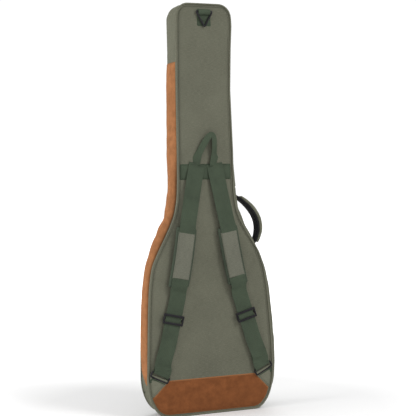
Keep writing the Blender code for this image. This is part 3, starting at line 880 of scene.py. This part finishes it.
def build_patches():
    outline = patch_outline()
    obj = applied("bottom_patch_suede", outline, 0.0014)
    dress(obj, "brown_suede", "shell", ["bottom_patch"])
    top = 0.1085 + LIFT
    seam = top - 0.0045
    line = [(-0.1865, 0.0600 + LIFT), (-0.1385, seam), (0.1385, seam), (0.1865, 0.0600 + LIFT)]
    stitch("shell", on_back(resample(line, 0.004), 0.0015), (0, -1, 0), colour="thread_tan")
    for side, word in ((-1, "left"), (1, "right")):
        corners = [(side * x, z + LIFT) for x, z in (
            (0.1975, 0.1330), (0.1972, 0.1000), (0.1935, 0.0600), (0.1880, 0.0610),
            (0.1405, 0.1060), (0.1435, 0.1085))]
        crest = np.array(corners)[[0, 5]]

        def under(q):
            return 0.0055 * np.clip(1 - segment_distance(q, crest, False) / 0.030, 0, 1)
        obj = applied("corner_patch_%s_cloth" % word, corners, 0.0020, spacing=0.004,
                      under=under)
        dress(obj, "olive_patch", "shell", ["corner_patch_" + word])
        line = [(side * x, z + LIFT) for x, z in ((0.1925, 0.1265), (0.1470, 0.1060),
                                                  (0.1890, 0.0660))]
        line = resample(line, 0.003)
        stitch("shell", on_back(line, 0.0021 + under(line)), (0, -1, 0))


def ring_place(side):
    down = np.array((side * math.sin(RING_TILT), 0, -math.cos(RING_TILT)))
    along = np.array((side * math.cos(RING_TILT), 0, math.sin(RING_TILT)))
    bar = np.array((side * RING[0] + 0.0025, -0.0518, RING[1] + LIFT)) + down * 0.0085
    return bar, along, down


def build_tabs():
    """The folded webbing that holds each ring: round the bar and down under the patch."""
    for side, word in ((-1, "left"), (1, "right")):
        bar, along, down = ring_place(side)
        out = np.array((0.0, -1.0, 0.0))
        path = [bar + down * 0.016 + out * -0.0065, bar + down * 0.0085 + out * -0.0040,
                bar + down * 0.0055, bar + down * 0.0040 + out * 0.0006,
                bar + down * 0.0034 + out * -0.0016]
        for a in (-30, -60, -90):
            r = math.radians(a)
            path.append(bar - down * 0.0036 * math.cos(r) + out * 0.0038 * math.sin(r))
        path += [bar + down * 0.006 + out * -0.0052, bar + down * 0.018 + out * -0.0070]
        path = resample(spline(path, 4), 0.0014)
        obj = band("ring_tab_%s_webbing" % word, path, along, 0.046, 0.0014)
        dress(obj, "green_webbing", "shell", ["ring_tab_" + word])


def build_yoke():
    loop = [(x, z + 0.739 + LIFT) for x, z in rounded(0.168, 0.049, 0.0012, 2)]
    obj = applied("strap_yoke_webbing", loop, 0.0018, math.pi / 2)
    dress(obj, "green_webbing", "shell", ["strap_yoke"])
    for z in (0.7172, 0.7195, 0.7585, 0.7610):
        line = resample([(-0.0815, z + LIFT), (0.0815, z + LIFT)], 0.004)
        stitch("shell", on_back(line, 0.0019), (0, -1, 0), colour="thread_green")
    for x in (-0.0805, 0.0805):
        line = resample([(x, 0.7175 + LIFT), (x, 0.7605 + LIFT)], 0.004)
        stitch("shell", on_back(line, 0.0019), (0, -1, 0), colour="thread_green")


def build_v_ring():
    shift = np.array((float(lean(0, -0.05, 1.215)), 0, 0))
    loop = [(x, z + 1.2115 + LIFT) for x, z in rounded(0.046, 0.054, 0.0015, 2)]
    obj = applied("v_ring_patch_webbing", loop, 0.0012, spacing=0.004)
    dress(obj, "green_webbing", "shell", ["v_ring_patch"])
    box = [(-0.0205, 1.187), (0.0205, 1.187), (0.0205, 1.2135), (-0.0205, 1.2135)]
    line = resample([(x, z + LIFT) for x, z in box], 0.003, True)
    stitch("shell", on_back(line, 0.0013), (0, -1, 0), closed=True, colour="thread_green")
    for a, b in ((0, 2), (1, 3)):
        line = resample([(box[a][0] * 0.9, box[a][1] + LIFT), (box[b][0] * 0.9, box[b][1] + LIFT)],
                        0.003)
        stitch("shell", on_back(line, 0.0013), (0, -1, 0), colour="thread_green")
    bar = np.array((0.0, -0.0515, 1.2300 + LIFT)) + shift
    out, down = np.array((0.0, -1.0, 0.0)), np.array((0.0, 0.0, -1.0))
    path = [bar + down * 0.0105 + out * -0.0010, bar + down * 0.0070 + out * 0.0022,
            bar + down * 0.0030 + out * 0.0036]
    for a in range(60, -91, -25):
        r = math.radians(a)
        path.append(bar - down * 0.0038 * math.cos(r) + out * 0.0038 * math.sin(r))
    path += [bar + down * 0.008 + out * -0.0034]
    path = resample(spline(path, 4), 0.0012)
    obj = band("v_ring_keeper_webbing", path, (1, 0, 0), 0.0385, 0.0016)
    dress(obj, "green_webbing", "shell", ["v_ring_keeper"])
    stitch("shell", [bar + down * 0.0085 + out * 0.0017 + np.array((x, 0, 0))
                     for x in (-0.017, 0.017)], out, colour="thread_green")
    corners = [(0.0, 0.0), (0.0205, 0.0), (0.0236, -0.0012), (0.0238, -0.0046),
               (0.0130, -0.0245), (0.0030, -0.0430), (0.0, -0.0452), (-0.0030, -0.0430),
               (-0.0130, -0.0245), (-0.0238, -0.0046), (-0.0236, -0.0012), (-0.0205, 0.0)]
    ring = spline(corners, 6, True)
    path = np.stack([bar[0] + ring[:, 0], np.full(len(ring), bar[1]), bar[2] + ring[:, 1]], 1)
    obj = tube("v_ring_moulded", resample(path, 0.0018, True), 0.0027, True, 12)
    dress(obj, "black_plastic", "v_ring", ["v_ring"])


def build_loop():
    """Hanging loop: webbing folded on edge at its apex, its two feet sewn under the yoke."""
    pts = [(-0.0355, -0.0466, 0.758, 0.0310), (-0.0345, -0.0484, 0.770, 0.0300),
           (-0.0235, -0.0530, 0.797, 0.0215), (-0.0070, -0.0580, 0.827, 0.0200),
           (0.0060, -0.0605, 0.846, 0.0195), (0.0160, -0.0618, 0.851, 0.0190),
           (0.0230, -0.0605, 0.843, 0.0190), (0.0250, -0.0575, 0.816, 0.0190),
           (0.0245, -0.0530, 0.793, 0.0215), (0.0275, -0.0488, 0.772, 0.0380),
           (0.0290, -0.0466, 0.758, 0.0420)]
    both = resample(spline(pts, 8), 0.0030)
    path = both[:, :3] + [0, 0, LIFT]
    sides = np.cross(np.gradient(path, axis=0), (0, -1, 0.0))
    sides[:, 1] -= 0.35 * np.linalg.norm(sides, axis=1)
    obj = band("hanging_loop_webbing", path, sides, both[:, 3], 0.0022)
    obj.data.materials.append(M["green_webbing"])
    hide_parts("hanging_loop")
    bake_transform(obj)


# ---- straps -------------------------------------------------------------------------------
PAD_Y, PAD_HALF = 0.0585, 0.0066


def strap_points(side):
    """Where one strap is sewn, meets its pad, leaves it and reaches the ring."""
    lift = np.array((0.0, 0.0, LIFT))
    top, pad_top, pad_end, ring = (
        np.array((side * p[0], 0.0, p[1])) + lift
        for p in (STRAP_TOP, PAD_TOP, PAD_END, STRAP_END))
    top += (-0.0020, 0, 0)
    pad_top += (-0.0060, 0, 0)
    pad_end += (-0.0055, 0, 0)
    ring += (0.0020, 0, 0)
    return top, pad_top, pad_end, ring


def across(v):
    v = v / np.linalg.norm(v)
    return np.array((v[2], 0.0, -v[0]))


def build_strap(side, word):
    body = "strap_" + word
    top, pad_top, pad_end, ring = strap_points(side)
    out = np.array((0.0, -1.0, 0.0))
    front = PAD_Y + PAD_HALF

    run = pad_top - top
    flat = across(run)
    unit = run / np.linalg.norm(run)
    length = np.linalg.norm(run)
    steps = [(-0.002, 0.0489), (0.010, 0.0494), (0.030, 0.0520), (0.060, 0.0555),
             (0.100, 0.0580), (0.150, 0.0596), (length - 0.018, 0.0606),
             (length - 0.004, front - 0.0010), (length + 0.006, front + 0.0008),
             (length + 0.022, front + 0.0009)]
    path = resample(spline([top + unit * a + out * b for a, b in steps], 6), 0.004)
    path = path + flat * (0.0012 * np.sin(np.linspace(0, 5, len(path))))[:, None]
    upper = band("strap_upper_%s_webbing" % word, path, flat, WEB + 0.001, WEB_T)
    upper.data.materials.append(M["green_webbing"])
    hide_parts("strap_upper_" + word)
    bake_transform(upper)
    # Sewn to the yoke with a box and a cross.
    base = top + out * (0.0489 + WEB_T / 2 + 0.0002)
    corners = [base + unit * a + flat * b for a, b in ((0.002, -0.021), (0.002, 0.021),
                                                       (0.018, 0.021), (0.018, -0.021))]
    stitch("shell", corners, out, closed=True, colour="thread_green")
    stitch("shell", [corners[0], corners[2]], out, colour="thread_green")
    stitch("shell", [corners[1], corners[3]], out, colour="thread_green")

    build_pad(side, word, body, pad_top, pad_end, out)

    run = ring - pad_end
    unit = run / np.linalg.norm(run)
    flat = across(run)
    bar, along, down = ring_place(side)
    bar = bar - down * 0.0170
    turn = along * (1 if np.dot(along, flat) > 0 else -1)
    length = np.linalg.norm(run)
    steps = [(-0.024, front + 0.0009), (-0.008, front + 0.0008), (0.004, front - 0.0010),
             (0.016, 0.0580), (0.032, 0.0560), (0.060, 0.0560), (0.0900, 0.0560),
             (0.1200, 0.0560), (0.150, 0.0560), (0.180, 0.0560), (length - 0.030, 0.0562)]
    pts, dirs = [], []
    for a, b in steps:
        bow = -0.0045 * side * min(max(min(a / 0.03, (length - 0.03 - a) / 0.04), 0), 1)
        pts.append(pad_end + unit * a + out * b + np.array((bow, 0, 0)))
        dirs.append(flat)
    for a, b in ((0.0130, 0.0046), (0.0050, 0.0040)):
        pts.append(bar - down * a + out * b)
        dirs.append(turn)
    for a in range(60, -91, -30):
        r = math.radians(a)
        pts.append(bar + down * 0.0038 * math.cos(r) + out * 0.0038 * math.sin(r))
        dirs.append(turn)
    for a, b in ((0.010, -0.0030), (0.030, -0.0010), (0.044, -0.0006)):
        pts.append(bar - unit * a + out * b)
        dirs.append(turn * 0.4 + flat * 0.6)
    both = resample(spline([np.hstack([p, d]) for p, d in zip(pts, dirs)], 5), 0.003)
    lower = band("strap_lower_%s_webbing" % word, both[:, :3], both[:, 3:], WEB + 0.001, WEB_T)
    dress(lower, "green_webbing", body, ["strap_lower_" + word])
    for a in (0.016, 0.020):
        mid = bar - down * 0.012 - unit * a + out * 0.0054
        stitch(body, [mid - flat * 0.021, mid + flat * 0.021], out, colour="thread_green")
    # Three-bar slide.
    centre = pad_end + unit * length * 0.385 + out * 0.0560 - np.array((0.0045 * side, 0, 0))
    turned = [(centre + unit * a + out * b, size) for a, b, size in (
        (-0.0120, 0.0034, (0.0068, 0.0640, 0.0046)), (0.0120, 0.0034, (0.0068, 0.0640, 0.0046)),
        (0.0, -0.0028, (0.0066, 0.0610, 0.0032)))]
    turned += [(centre + flat * 0.0300 * k + out * 0.0012, (0.0270, 0.0042, 0.0076))
               for k in (-1, 1)]
    obj = soft_boxes("adjuster_%s_moulded" % word,
                     [(axes(c, unit, flat), size) for c, size in turned], 0.0015, 4)
    dress(obj, "black_plastic", "adjuster_" + word, ["adjuster_" + word])
    # Ring.
    bar, along, down = ring_place(side)
    loop = spline(rounded(0.0585, 0.0168, 0.0042, 4), 2, True)
    path = np.array([bar + along * a - down * (b + 0.0085) for a, b in loop])
    obj = tube("strap_ring_%s_moulded" % word, resample(path, 0.0016, True), 0.0026, True, 12)
    dress(obj, "black_plastic", "strap_ring_" + word, ["strap_ring_" + word])


def build_pad(side, word, body, a, b, out):
    """Shoulder pad: a soft slab crowned in front, the webbing on it and a cloth sleeve over."""
    unit = (b - a) / np.linalg.norm(b - a)
    flat = across(b - a)
    length, width = np.linalg.norm(b - a) + 0.004, 0.0645
    mid = (a + b) / 2

    def shift(v):
        """Bow and stand-off along the pad."""
        k = v / (length / 2)
        return side * 0.0020 * math.cos(math.pi * k / 2), 0.0016 * k * k * (1 if v > 0 else 0.5)
    rad = 0.006
    vs = np.concatenate([-length / 2 + rad * (1 - np.cos(np.linspace(0, math.pi / 2, 7))),
                         np.linspace(-length / 2 + rad, length / 2 - rad, 54)[1:-1],
                         length / 2 - rad * (1 - np.cos(np.linspace(math.pi / 2, 0, 7)))])
    us = np.sin(np.linspace(-math.pi / 2, math.pi / 2, 26))
    rows = []
    for v in vs:
        over = max(abs(v) - (length / 2 - rad), 0)
        half = width / 2 - rad + math.sqrt(max(rad ** 2 - over ** 2, 0))
        bow, dip = shift(v)
        ring = []
        for u, face in [(u, 1) for u in us] + [(u, -1) for u in us[::-1][1:-1]]:
            x = u * half
            d = max(min(half - abs(x), length / 2 - abs(v)), 0)
            high = PAD_HALF * round_over(d, 0.0075, 2.2) * face
            if face > 0:
                high -= 0.0012 * math.exp(-((abs(x) - 0.0270) / 0.0016) ** 2)
            # The lower end is cut on a slant.
            slant = -0.10 * side * x * max(v / (length / 2), 0) ** 4
            high += 0.0005 * noise.noise(Vector((x * 40, v * 30, side * 7.0))) * (face > 0)
            ring.append(mid + unit * (v + slant) + flat * (x + bow) + out * (PAD_Y - dip + high))
        rows.append(ring)
    obj = grid("shoulder_pad_%s_soft" % word, rows, False, True, True)
    floats(obj, "edge", np.full(len(obj.data.vertices), 0.05))
    dress(obj, "pad", body, ["shoulder_pad_" + word])

    # Sleeve: a folded tube of cloth round the webbing, its long sides sewn to the pad.
    low, high = -0.0765, 0.0665
    ns = 46
    tall = np.linspace(low, high, ns)
    wide = 0.0520
    cols = np.concatenate([[-1.0, -0.985, -0.96], np.linspace(-0.93, 0.93, 25),
                           [0.96, 0.985, 1.0]])
    rows, depth = [], []
    for v in tall:
        bow, dip = shift(v)
        row, deep = [], []
        for c in cols:
            x = c * wide / 2
            d = min(wide / 2 - abs(x), v - low, high - v)
            rise = float(round_over(np.array(wide / 2 - abs(x)), 0.0020))
            lip = float(round_over(np.array(min(v - low, high - v)), 0.0010))
            wave = noise.noise(Vector((x * 45, v * 26, side * 3.0)))
            y = PAD_Y + PAD_HALF - dip - 0.0004 + 0.0032 * rise * (0.35 + 0.65 * lip)
            y += 0.0007 * wave * min(max(d, 0) / 0.006, 1)
            row.append(mid + unit * v + flat * (x + bow) + out * y)
            deep.append(max(d, 0))
        rows.append(row)
        depth.append(deep)
    obj = grid("pad_sleeve_%s_soft" % word, rows)
    floats(obj, "edge", np.array(depth).ravel())
    dress(obj, "sleeve", body, ["pad_sleeve_" + word])
    for x in (-0.0243, 0.0243):
        path = [mid + unit * v + flat * (x + shift(v)[0])
                + out * (PAD_Y + PAD_HALF + 0.0029 - shift(v)[1]) for v in tall[1:-1]]
        stitch(body, path, out)


def build_handle():
    foot, peak, top = (0.1640, 0.5060), (0.1770, 0.5885), (0.1070, 0.6640)
    mid = [2 * p - (s + e) / 2 for s, p, e in zip(foot, peak, top)]
    curve = []
    for t in np.linspace(0, 1, 40):
        a, b, c = (1 - t) ** 2, 2 * t * (1 - t), t * t
        curve.append([a * s + b * m + c * e for s, m, e in zip(foot, mid, top)])
    curve = np.array(curve)
    tangent = np.gradient(curve, axis=0)
    tangent /= np.linalg.norm(tangent, axis=1)[:, None]
    normal = np.stack([tangent[:, 1], -tangent[:, 0]], 1)

    def at(out):
        q = curve + normal * out
        return np.stack([q[:, 0], np.zeros(len(q)), q[:, 1] + LIFT], 1)

    t = np.linspace(0, 1, 40)
    wide = 0.026 + 0.010 * np.sin(math.pi * t) ** 0.5
    thick = 0.0070 + 0.0022 * np.sin(math.pi * t) ** 0.5
    core = at(0.0)
    foot_in = core[0] + (core[0] - core[1]) * 0.6 + np.array((-0.007, 0, -0.002))
    top_in = core[-1] + np.array((-0.0065, 0, 0.0004))
    path = np.vstack([[foot_in], core, [top_in]])
    wide2 = np.concatenate([[0.026], wide, [0.026]])
    thick2 = np.concatenate([[0.0055], thick, [0.0055]])
    obj = band("handle_core_foam", path, (0, 1, 0), wide2, thick2, 0.9)
    dress(obj, "black_foam", "side_handle", ["handle_core"])
    pick = slice(3, 37)
    k = np.linspace(0, 1, len(t[pick]))
    swell = np.clip(np.sin(math.pi * (0.06 + 0.90 * k)), 0, 1) ** 0.6
    cover = at(0.0)[pick]
    stand = 0.0066 + 0.0026 * swell
    cover += np.stack([normal[pick, 0] * stand, stand * 0, normal[pick, 1] * stand], 1)
    lumps = np.array([noise.noise(Vector((q * 9, 0.3, 5.5))) for q in k]) * 0.0007
    cover[:, 0] += lumps
    obj = band("handle_cover_padded", cover, (0, 1, 0), 0.027 + 0.012 * swell,
               0.0052 + 0.0056 * swell, 1.0)
    dress(obj, "olive_patch", "side_handle", ["handle_cover"])
    floats(obj, "edge", np.full(len(obj.data.vertices), 0.05))
    for y in (-0.0135, 0.0135):
        line = cover[2:-2].copy()
        n3 = np.stack([normal[pick][2:-2, 0], np.zeros(len(line)), normal[pick][2:-2, 1]], 1)
        high = (0.0052 + 0.0056 * swell[2:-2]) / 2
        line = line + n3 * (high - 0.0004)[:, None]
        line[:, 1] = y
        stitch("side_handle", line, n3)


def build_anchors():
    for name, low, high in (("handle_anchor_top", 0.650, 0.682),
                            ("handle_anchor_foot", 0.495, 0.530)):
        a, _ = rim_at(1, low)
        b, _ = rim_at(1, high)
        s = np.linspace(a, b, 16)
        rows = np.array(gusset_rows(s, 0.0016, 0.30, 0.66, 1))
        away = np.minimum(np.arange(13), np.arange(13)[::-1]) * 0.0022
        ends = np.minimum(s - a, b - s)
        d = np.minimum(away[None, :], ends[:, None])
        p, n = on_rim(s)
        sink = 0.0018 * (1 - round_over(d, 0.002))
        rows[:, :, 0] -= n[:, 0][:, None] * sink
        rows[:, :, 2] -= n[:, 1][:, None] * sink
        obj = grid(name + "_webbing", rows)
        dress(obj, "green_webbing", "shell", [name])


# ---- lid ----------------------------------------------------------------------------------
def zip_span():
    a, _ = rim_at(1, FOLD[1])
    b, _ = rim_at(1, FOLD[0])
    return a, b + TOTAL


def swept(s, profile):
    """Rows of points that carry a section, as y and offset pairs, along the rim."""
    profile = list(profile)
    p, n = on_rim(s)
    return [[(q[0] + m[0] * o, y, q[1] + m[1] * o) for y, o in profile] for q, m in zip(p, n)]


def ring_band(name, a, b, ys, outs, step=0.006):
    """A thin closed band round part of the rim: its section is given as y and offset pairs."""
    s = np.linspace(a, b, int((b - a) / step) + 1)
    return grid(name, swept(s, zip(ys, outs)), False, True, True)


def build_zip():
    a, b = zip_span()
    obj = ring_band("zip_tape_shell_woven", a, b, (0.0276, 0.0322, 0.0322, 0.0276),
                    (-0.0012, -0.0020, -0.0028, -0.0024))
    dress(obj, "tape", "shell", ["zip_tape_shell"])
    obj = ring_band("zip_tape_lid_woven", a, b, (0.0340, 0.0392, 0.0392, 0.0340),
                    (-0.0020, -0.0026, -0.0034, -0.0028))
    dress(obj, "tape", "lid", ["zip_tape_lid"])
    pitch = 0.0031
    count = int((b - a) / pitch)
    for body, node_name, y0, y1, half in (("shell", "zip_teeth_shell", 0.0302, 0.0338, 0.0),
                                          ("lid", "zip_teeth_lid", 0.0324, 0.0360, 0.5)):
        s = a + (np.arange(count) + 0.25 + half) * pitch
        p, n = on_rim(s)
        t = np.stack([-n[:, 1], n[:, 0]], 1)
        verts, faces = [], []
        for k in range(count):
            base = len(verts)
            head = y1 if body == "shell" else y0
            tail = y0 if body == "shell" else y1
            for y, w, lo, hi in ((tail, 0.00062, -0.0016, -0.0002),
                                 (head + (tail - head) * 0.42, 0.00055, -0.0015, -0.0001),
                                 (head, 0.00082, -0.0017, 0.0002)):
                for dw, o in ((-w, lo), (w, lo), (w, hi), (-w, hi)):
                    q = p[k] + n[k] * o + t[k] * dw
                    verts.append((q[0], y, q[1]))
            for r in range(2):
                for j in range(4):
                    i0, i1 = base + r * 4 + j, base + r * 4 + (j + 1) % 4
                    faces.append((i0, i1, i1 + 4, i0 + 4))
            faces.append((base + 3, base + 2, base + 1, base))
            faces.append((base + 8, base + 9, base + 10, base + 11))
        obj = new_mesh(node_name + "_moulded", verts, faces, np.zeros((len(verts), 2)), False)
        dress(obj, "teeth", body, [node_name])
    a, _ = rim_at(1, FOLD[0])
    b, _ = rim_at(1, FOLD[1])
    s = np.linspace(a - 0.004, b + 0.004, 60)
    prof = [(0.0284, 0.0008), (0.0300, 0.0006), (0.0330, -0.0004), (0.0360, -0.0010),
            (0.0392, -0.0016), (0.0392, -0.0034), (0.0360, -0.0030), (0.0330, -0.0026),
            (0.0300, -0.0020), (0.0284, -0.0016)]
    obj = grid("lid_fold_cloth", swept(s, prof), False, True, True)
    obj.data.materials.append(M["olive_fabric"])
    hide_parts("lid_fold")
    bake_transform(obj)


def build_lid():
    edge = rim_loop(-0.004)

    def face(p, d):
        return front_y(p)
    obj = patch("front_panel_padded", edge, face, 0.0066, leans=False)
    dress(obj, "olive_fabric", "lid", ["front_panel"])
    s = np.linspace(0, TOTAL, N, endpoint=False)
    rows = swept(s, ((0.0374, -0.0038), (0.0384, -0.0026), (0.0404, -0.0028), (0.0412, -0.0048)))
    obj = grid("lid_edge_cloth", rows, True)
    dress(obj, "olive_fabric", "lid")
    ring = rim_loop(-0.0014)
    path = resample(np.stack([ring[:, 0], np.full(N, 0.0424), ring[:, 1]], 1), 0.0045, True)
    obj = tube("front_piping_cord", path, 0.0024, True, 10, 0.03)
    dress(obj, "olive_piping", "lid", ["front_piping"])
    inner = rim_loop(-0.0095)
    inner = np.stack([inner[:, 0], front_y(inner) + 0.0001, inner[:, 1]], 1)
    stitch("lid", inner, (0, 1, 0), 0.0045, 0.0032, 0.00035, True, "thread_green")
    obj = patch("lid_lining_plush", rim_loop(-0.0046), lambda q, d: 0.0372 - 0.0006 * round_over(
        d, 0.02) + 0.0006 * waves(q, 0.06, 21.0), 0.012, leans=False)
    dress(obj, "lining", "lid")


def build_lining():
    s = np.linspace(0, TOTAL, N, endpoint=False)
    p, n = on_rim(s)
    rows = []
    for k in range(N):
        row = []
        for y, o in ((0.0290, -0.0010), (0.0284, -0.0058), (0.0200, -0.0064), (0.0, -0.0068),
                     (-0.0200, -0.0066), (-0.0330, -0.0068), (-0.0350, -0.0100)):
            soft = 0.0006 * noise.noise(Vector((s[k] * 30, y * 60, 9.0))) if y < 0.02 else 0
            row.append((p[k][0] + n[k][0] * (o - soft), y, p[k][1] + n[k][1] * (o - soft)))
        rows.append(row)
    rows = np.array(rows)
    rows[:, :, 0] += lean(rows[:, :, 0], rows[:, :, 1], rows[:, :, 2])
    obj = grid("lining_walls_plush", rows, True)
    dress(obj, "lining", "shell")
    obj = patch("lining_back_plush", rim_loop(-0.0095), lambda q, d: -0.0352 + 0.0006 * round_over(
        d, 0.02) + 0.0006 * waves(q, 0.06, 31.0), 0.012)
    dress(obj, "lining", "shell")


def build_pocket():
    centre, size = 0.215 + LIFT, (0.290, 0.290)
    loop = [(x, z + centre) for x, z in rounded(*size, 0.030, 8)]

    def face(q, d):
        base = front_y(q)
        rise = round_over(d, 0.0070, 2.6)
        sag = 0.0012 * waves(q, 0.09, 41.0) + 0.0007 * waves(q, 0.035, 44.0)
        full = 0.0628 + sag * np.clip(d / 0.03, 0, 1)
        return base + (full - base) * rise
    obj = patch("front_pocket_cloth", loop, face, 0.0055, leans=False)
    floats_edge = obj.data.attributes["edge"]
    values = np.empty(len(obj.data.vertices), np.float32)
    floats_edge.data.foreach_get("value", values)
    floats_edge.data.foreach_set("value", values + 0.02)
    dress(obj, "olive_patch", "lid", ["pocket_panel", "pocket_gusset"])
    ring = resample([(x, z + centre) for x, z in rounded(size[0] - 0.005, size[1] - 0.005, 0.028,
                                                         8)], 0.004, True)
    path = np.stack([ring[:, 0], np.full(len(ring), 0.0615), ring[:, 1]], 1)
    obj = tube("pocket_piping_cord", path, 0.0021, True, 8, 0.03)
    dress(obj, "olive_piping", "lid")
    ring = resample([(x, z + centre) for x, z in rounded(size[0] - 0.018, size[1] - 0.018, 0.022,
                                                         8)], 0.004, True)
    line = np.stack([ring[:, 0], np.full(len(ring), 0.0636), ring[:, 1]], 1)
    stitch("lid", line, (0, 1, 0), closed=True)
    top = centre + size[1] / 2
    rows = [[(x, y, top + z) for y, z in ((0.0476, 0.0004), (0.0480, 0.0013), (0.0600, 0.0013),
                                          (0.0604, 0.0004))]
            for x in np.linspace(-0.112, 0.112, 60)]
    obj = grid("pocket_zip_tape_woven", rows, False, True, True)
    dress(obj, "tape", "lid", ["pocket_zip_tape"])
    blocks = []
    for k in range(136):
        x = -0.1095 + k * 0.00162
        y = 0.0540 + (0.0009 if k % 2 else -0.0009)
        blocks.append((Matrix.Translation((x, y, top + 0.0023)), (0.0012, 0.0034, 0.0016)))
    obj = soft_boxes("pocket_zip_teeth_moulded", blocks, 0.0003, 1)
    dress(obj, "teeth", "lid", ["pocket_zip_teeth"])


def build_inside():
    low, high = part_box("end_pad")
    mid, size = (low + high) / 2, high - low
    obj = soft_boxes("end_pad_foam", [(Matrix.Translation(mid), (size.x, size.y, size.z))],
                     0.006, 5)
    dress(obj, "black_foam", "shell", ["end_pad"])
    low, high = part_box("neck_cradle")
    rows = []
    for z in np.linspace(low.z, high.z, 14):
        edge = min(z - low.z, high.z - z)
        row = []
        for x in np.linspace(low.x, high.x, 41):
            dip = 0.0090 * (1 - min(max((abs(x) - 0.026) / 0.014, 0), 1) ** 1.5) * 1.0
            d = min(edge, high.x - abs(x))
            y = high.y - dip - 0.0100 * (1 - float(round_over(np.array(d), 0.008)))
            row.append((x, y, z))
        rows.append(row + [(high.x, low.y, z), (low.x, low.y, z)])
    obj = grid("neck_cradle_foam", rows, False, True, True)
    dress(obj, "black_foam", "shell", ["neck_cradle"])
    low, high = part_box("neck_strap")
    mid = (low + high) / 2
    path = resample([(low.x, mid.y, mid.z), (high.x, mid.y, mid.z)], 0.004)
    path[:, 1] += 0.0004 * np.sin(np.linspace(0, 9, len(path)))
    obj = band("neck_strap_webbing", path, (0, 0, 1), 0.030, 0.0017)
    dress(obj, "black_foam", "neck_strap", ["neck_strap"])


def build_threads():
    for (body, colour), (verts, faces) in THREADS.items():
        obj = new_mesh("stitching_%s_%s" % (body, colour.split("_")[1]), verts, faces,
                       np.zeros((len(verts), 2)))
        dress(obj, colour, body)


def finish_cad():
    for name, obj in NODES.items():
        if obj.hide_render:
            continue
        obj.data.materials.clear()
        obj.data.materials.append(M["black_plastic"])


def build_stage():
    floor = bpy.data.meshes.new("floor")
    floor.from_pydata([(-30, -30, 0), (30, -30, 0), (30, 30, 0), (-30, 30, 0)], [], [(0, 1, 2, 3)])
    obj = bpy.data.objects.new("floor", floor)
    bpy.context.scene.collection.objects.link(obj)
    mat, tree, shader = nodes_for("floor_pale", (0.86, 0.86, 0.86), 0.9)
    # Far floor glows a little, so that it meets the white room without a line.
    place = tree.nodes.new("ShaderNodeTexCoord").outputs["Object"]
    far = tree.nodes.new("ShaderNodeVectorMath")
    far.operation = "LENGTH"
    tree.links.new(place, far.inputs[0])
    glow = tree.nodes.new("ShaderNodeMapRange")
    glow.inputs["From Min"].default_value = 0.55
    glow.inputs["From Max"].default_value = 2.2
    glow.inputs["To Max"].default_value = 0.85
    tree.links.new(far.outputs["Value"], glow.inputs["Value"])
    shader.inputs["Emission Color"].default_value = (1, 1, 1, 1)
    seen = tree.nodes.new("ShaderNodeLightPath").outputs["Is Camera Ray"]
    tree.links.new(math_node(tree, "MULTIPLY", seen, glow.outputs["Result"]),
                   shader.inputs["Emission Strength"])
    floor.materials.append(mat)
    world = bpy.data.worlds.new("studio")
    bpy.context.scene.world = world
    world.use_nodes = True
    world.node_tree.nodes["Background"].inputs[0].default_value = (1, 1, 1, 1)
    tree = world.node_tree
    back = tree.nodes["Background"]
    seen = tree.nodes.new("ShaderNodeLightPath").outputs["Is Camera Ray"]
    tree.links.new(math_node(tree, "ADD", 0.60, math_node(tree, "MULTIPLY", seen, 0.45)),
                   back.inputs[1])
    for name, place, size, power in (("key", (2.1, -2.9, 3.2), 1.2, 92),
                                     ("side", (-3.4, 0.0, 1.5), 2.0, 78),
                                     ("fill", (-1.6, -3.6, 1.0), 2.4, 16),
                                     ("rim", (1.2, 2.8, 2.2), 2.0, 30)):
        data = bpy.data.lights.new(name, "AREA")
        data.size, data.energy = size, power
        lamp = bpy.data.objects.new(name, data)
        lamp.location = place
        aim = Vector((0, 0, 0.65)) - Vector(place)
        lamp.rotation_euler = aim.to_track_quat("-Z", "Y").to_euler()
        bpy.context.scene.collection.objects.link(lamp)


def build_camera():
    yaw, pitch, roll = math.radians(20.0), math.radians(0.632), math.radians(-1.46)
    look = Vector((math.sin(yaw) * math.cos(pitch), math.cos(yaw) * math.cos(pitch),
                   -math.sin(pitch)))
    right = Vector((math.cos(yaw), -math.sin(yaw), 0))
    up = right.cross(look)
    r = right * math.cos(roll) + up * math.sin(roll)
    u = up * math.cos(roll) - right * math.sin(roll)
    data = bpy.data.cameras.new("camera")
    data.sensor_width, data.lens = 36, 955.0 / 416 * 36
    cam = bpy.data.objects.new("camera", data)
    bpy.context.scene.collection.objects.link(cam)
    place = Vector((-1.0006, -2.7569 - 0.046, 0.6596 + LIFT))
    cam.matrix_world = Matrix.Translation(place) @ Matrix((r, u, -look)).transposed().to_4x4()
    bpy.context.scene.camera = cam


build_gusset()
build_wear_strip()
build_back()
build_patches()
build_tabs()
build_yoke()
build_v_ring()
build_loop()
for SIGN, WORD in ((-1, "left"), (1, "right")):
    build_strap(SIGN, WORD)
build_handle()
build_anchors()
build_zip()
build_lid()
build_lining()
build_pocket()
build_inside()
build_threads()
finish_cad()
build_stage()
build_camera()
bpy.context.scene.view_settings.view_transform = "Standard"
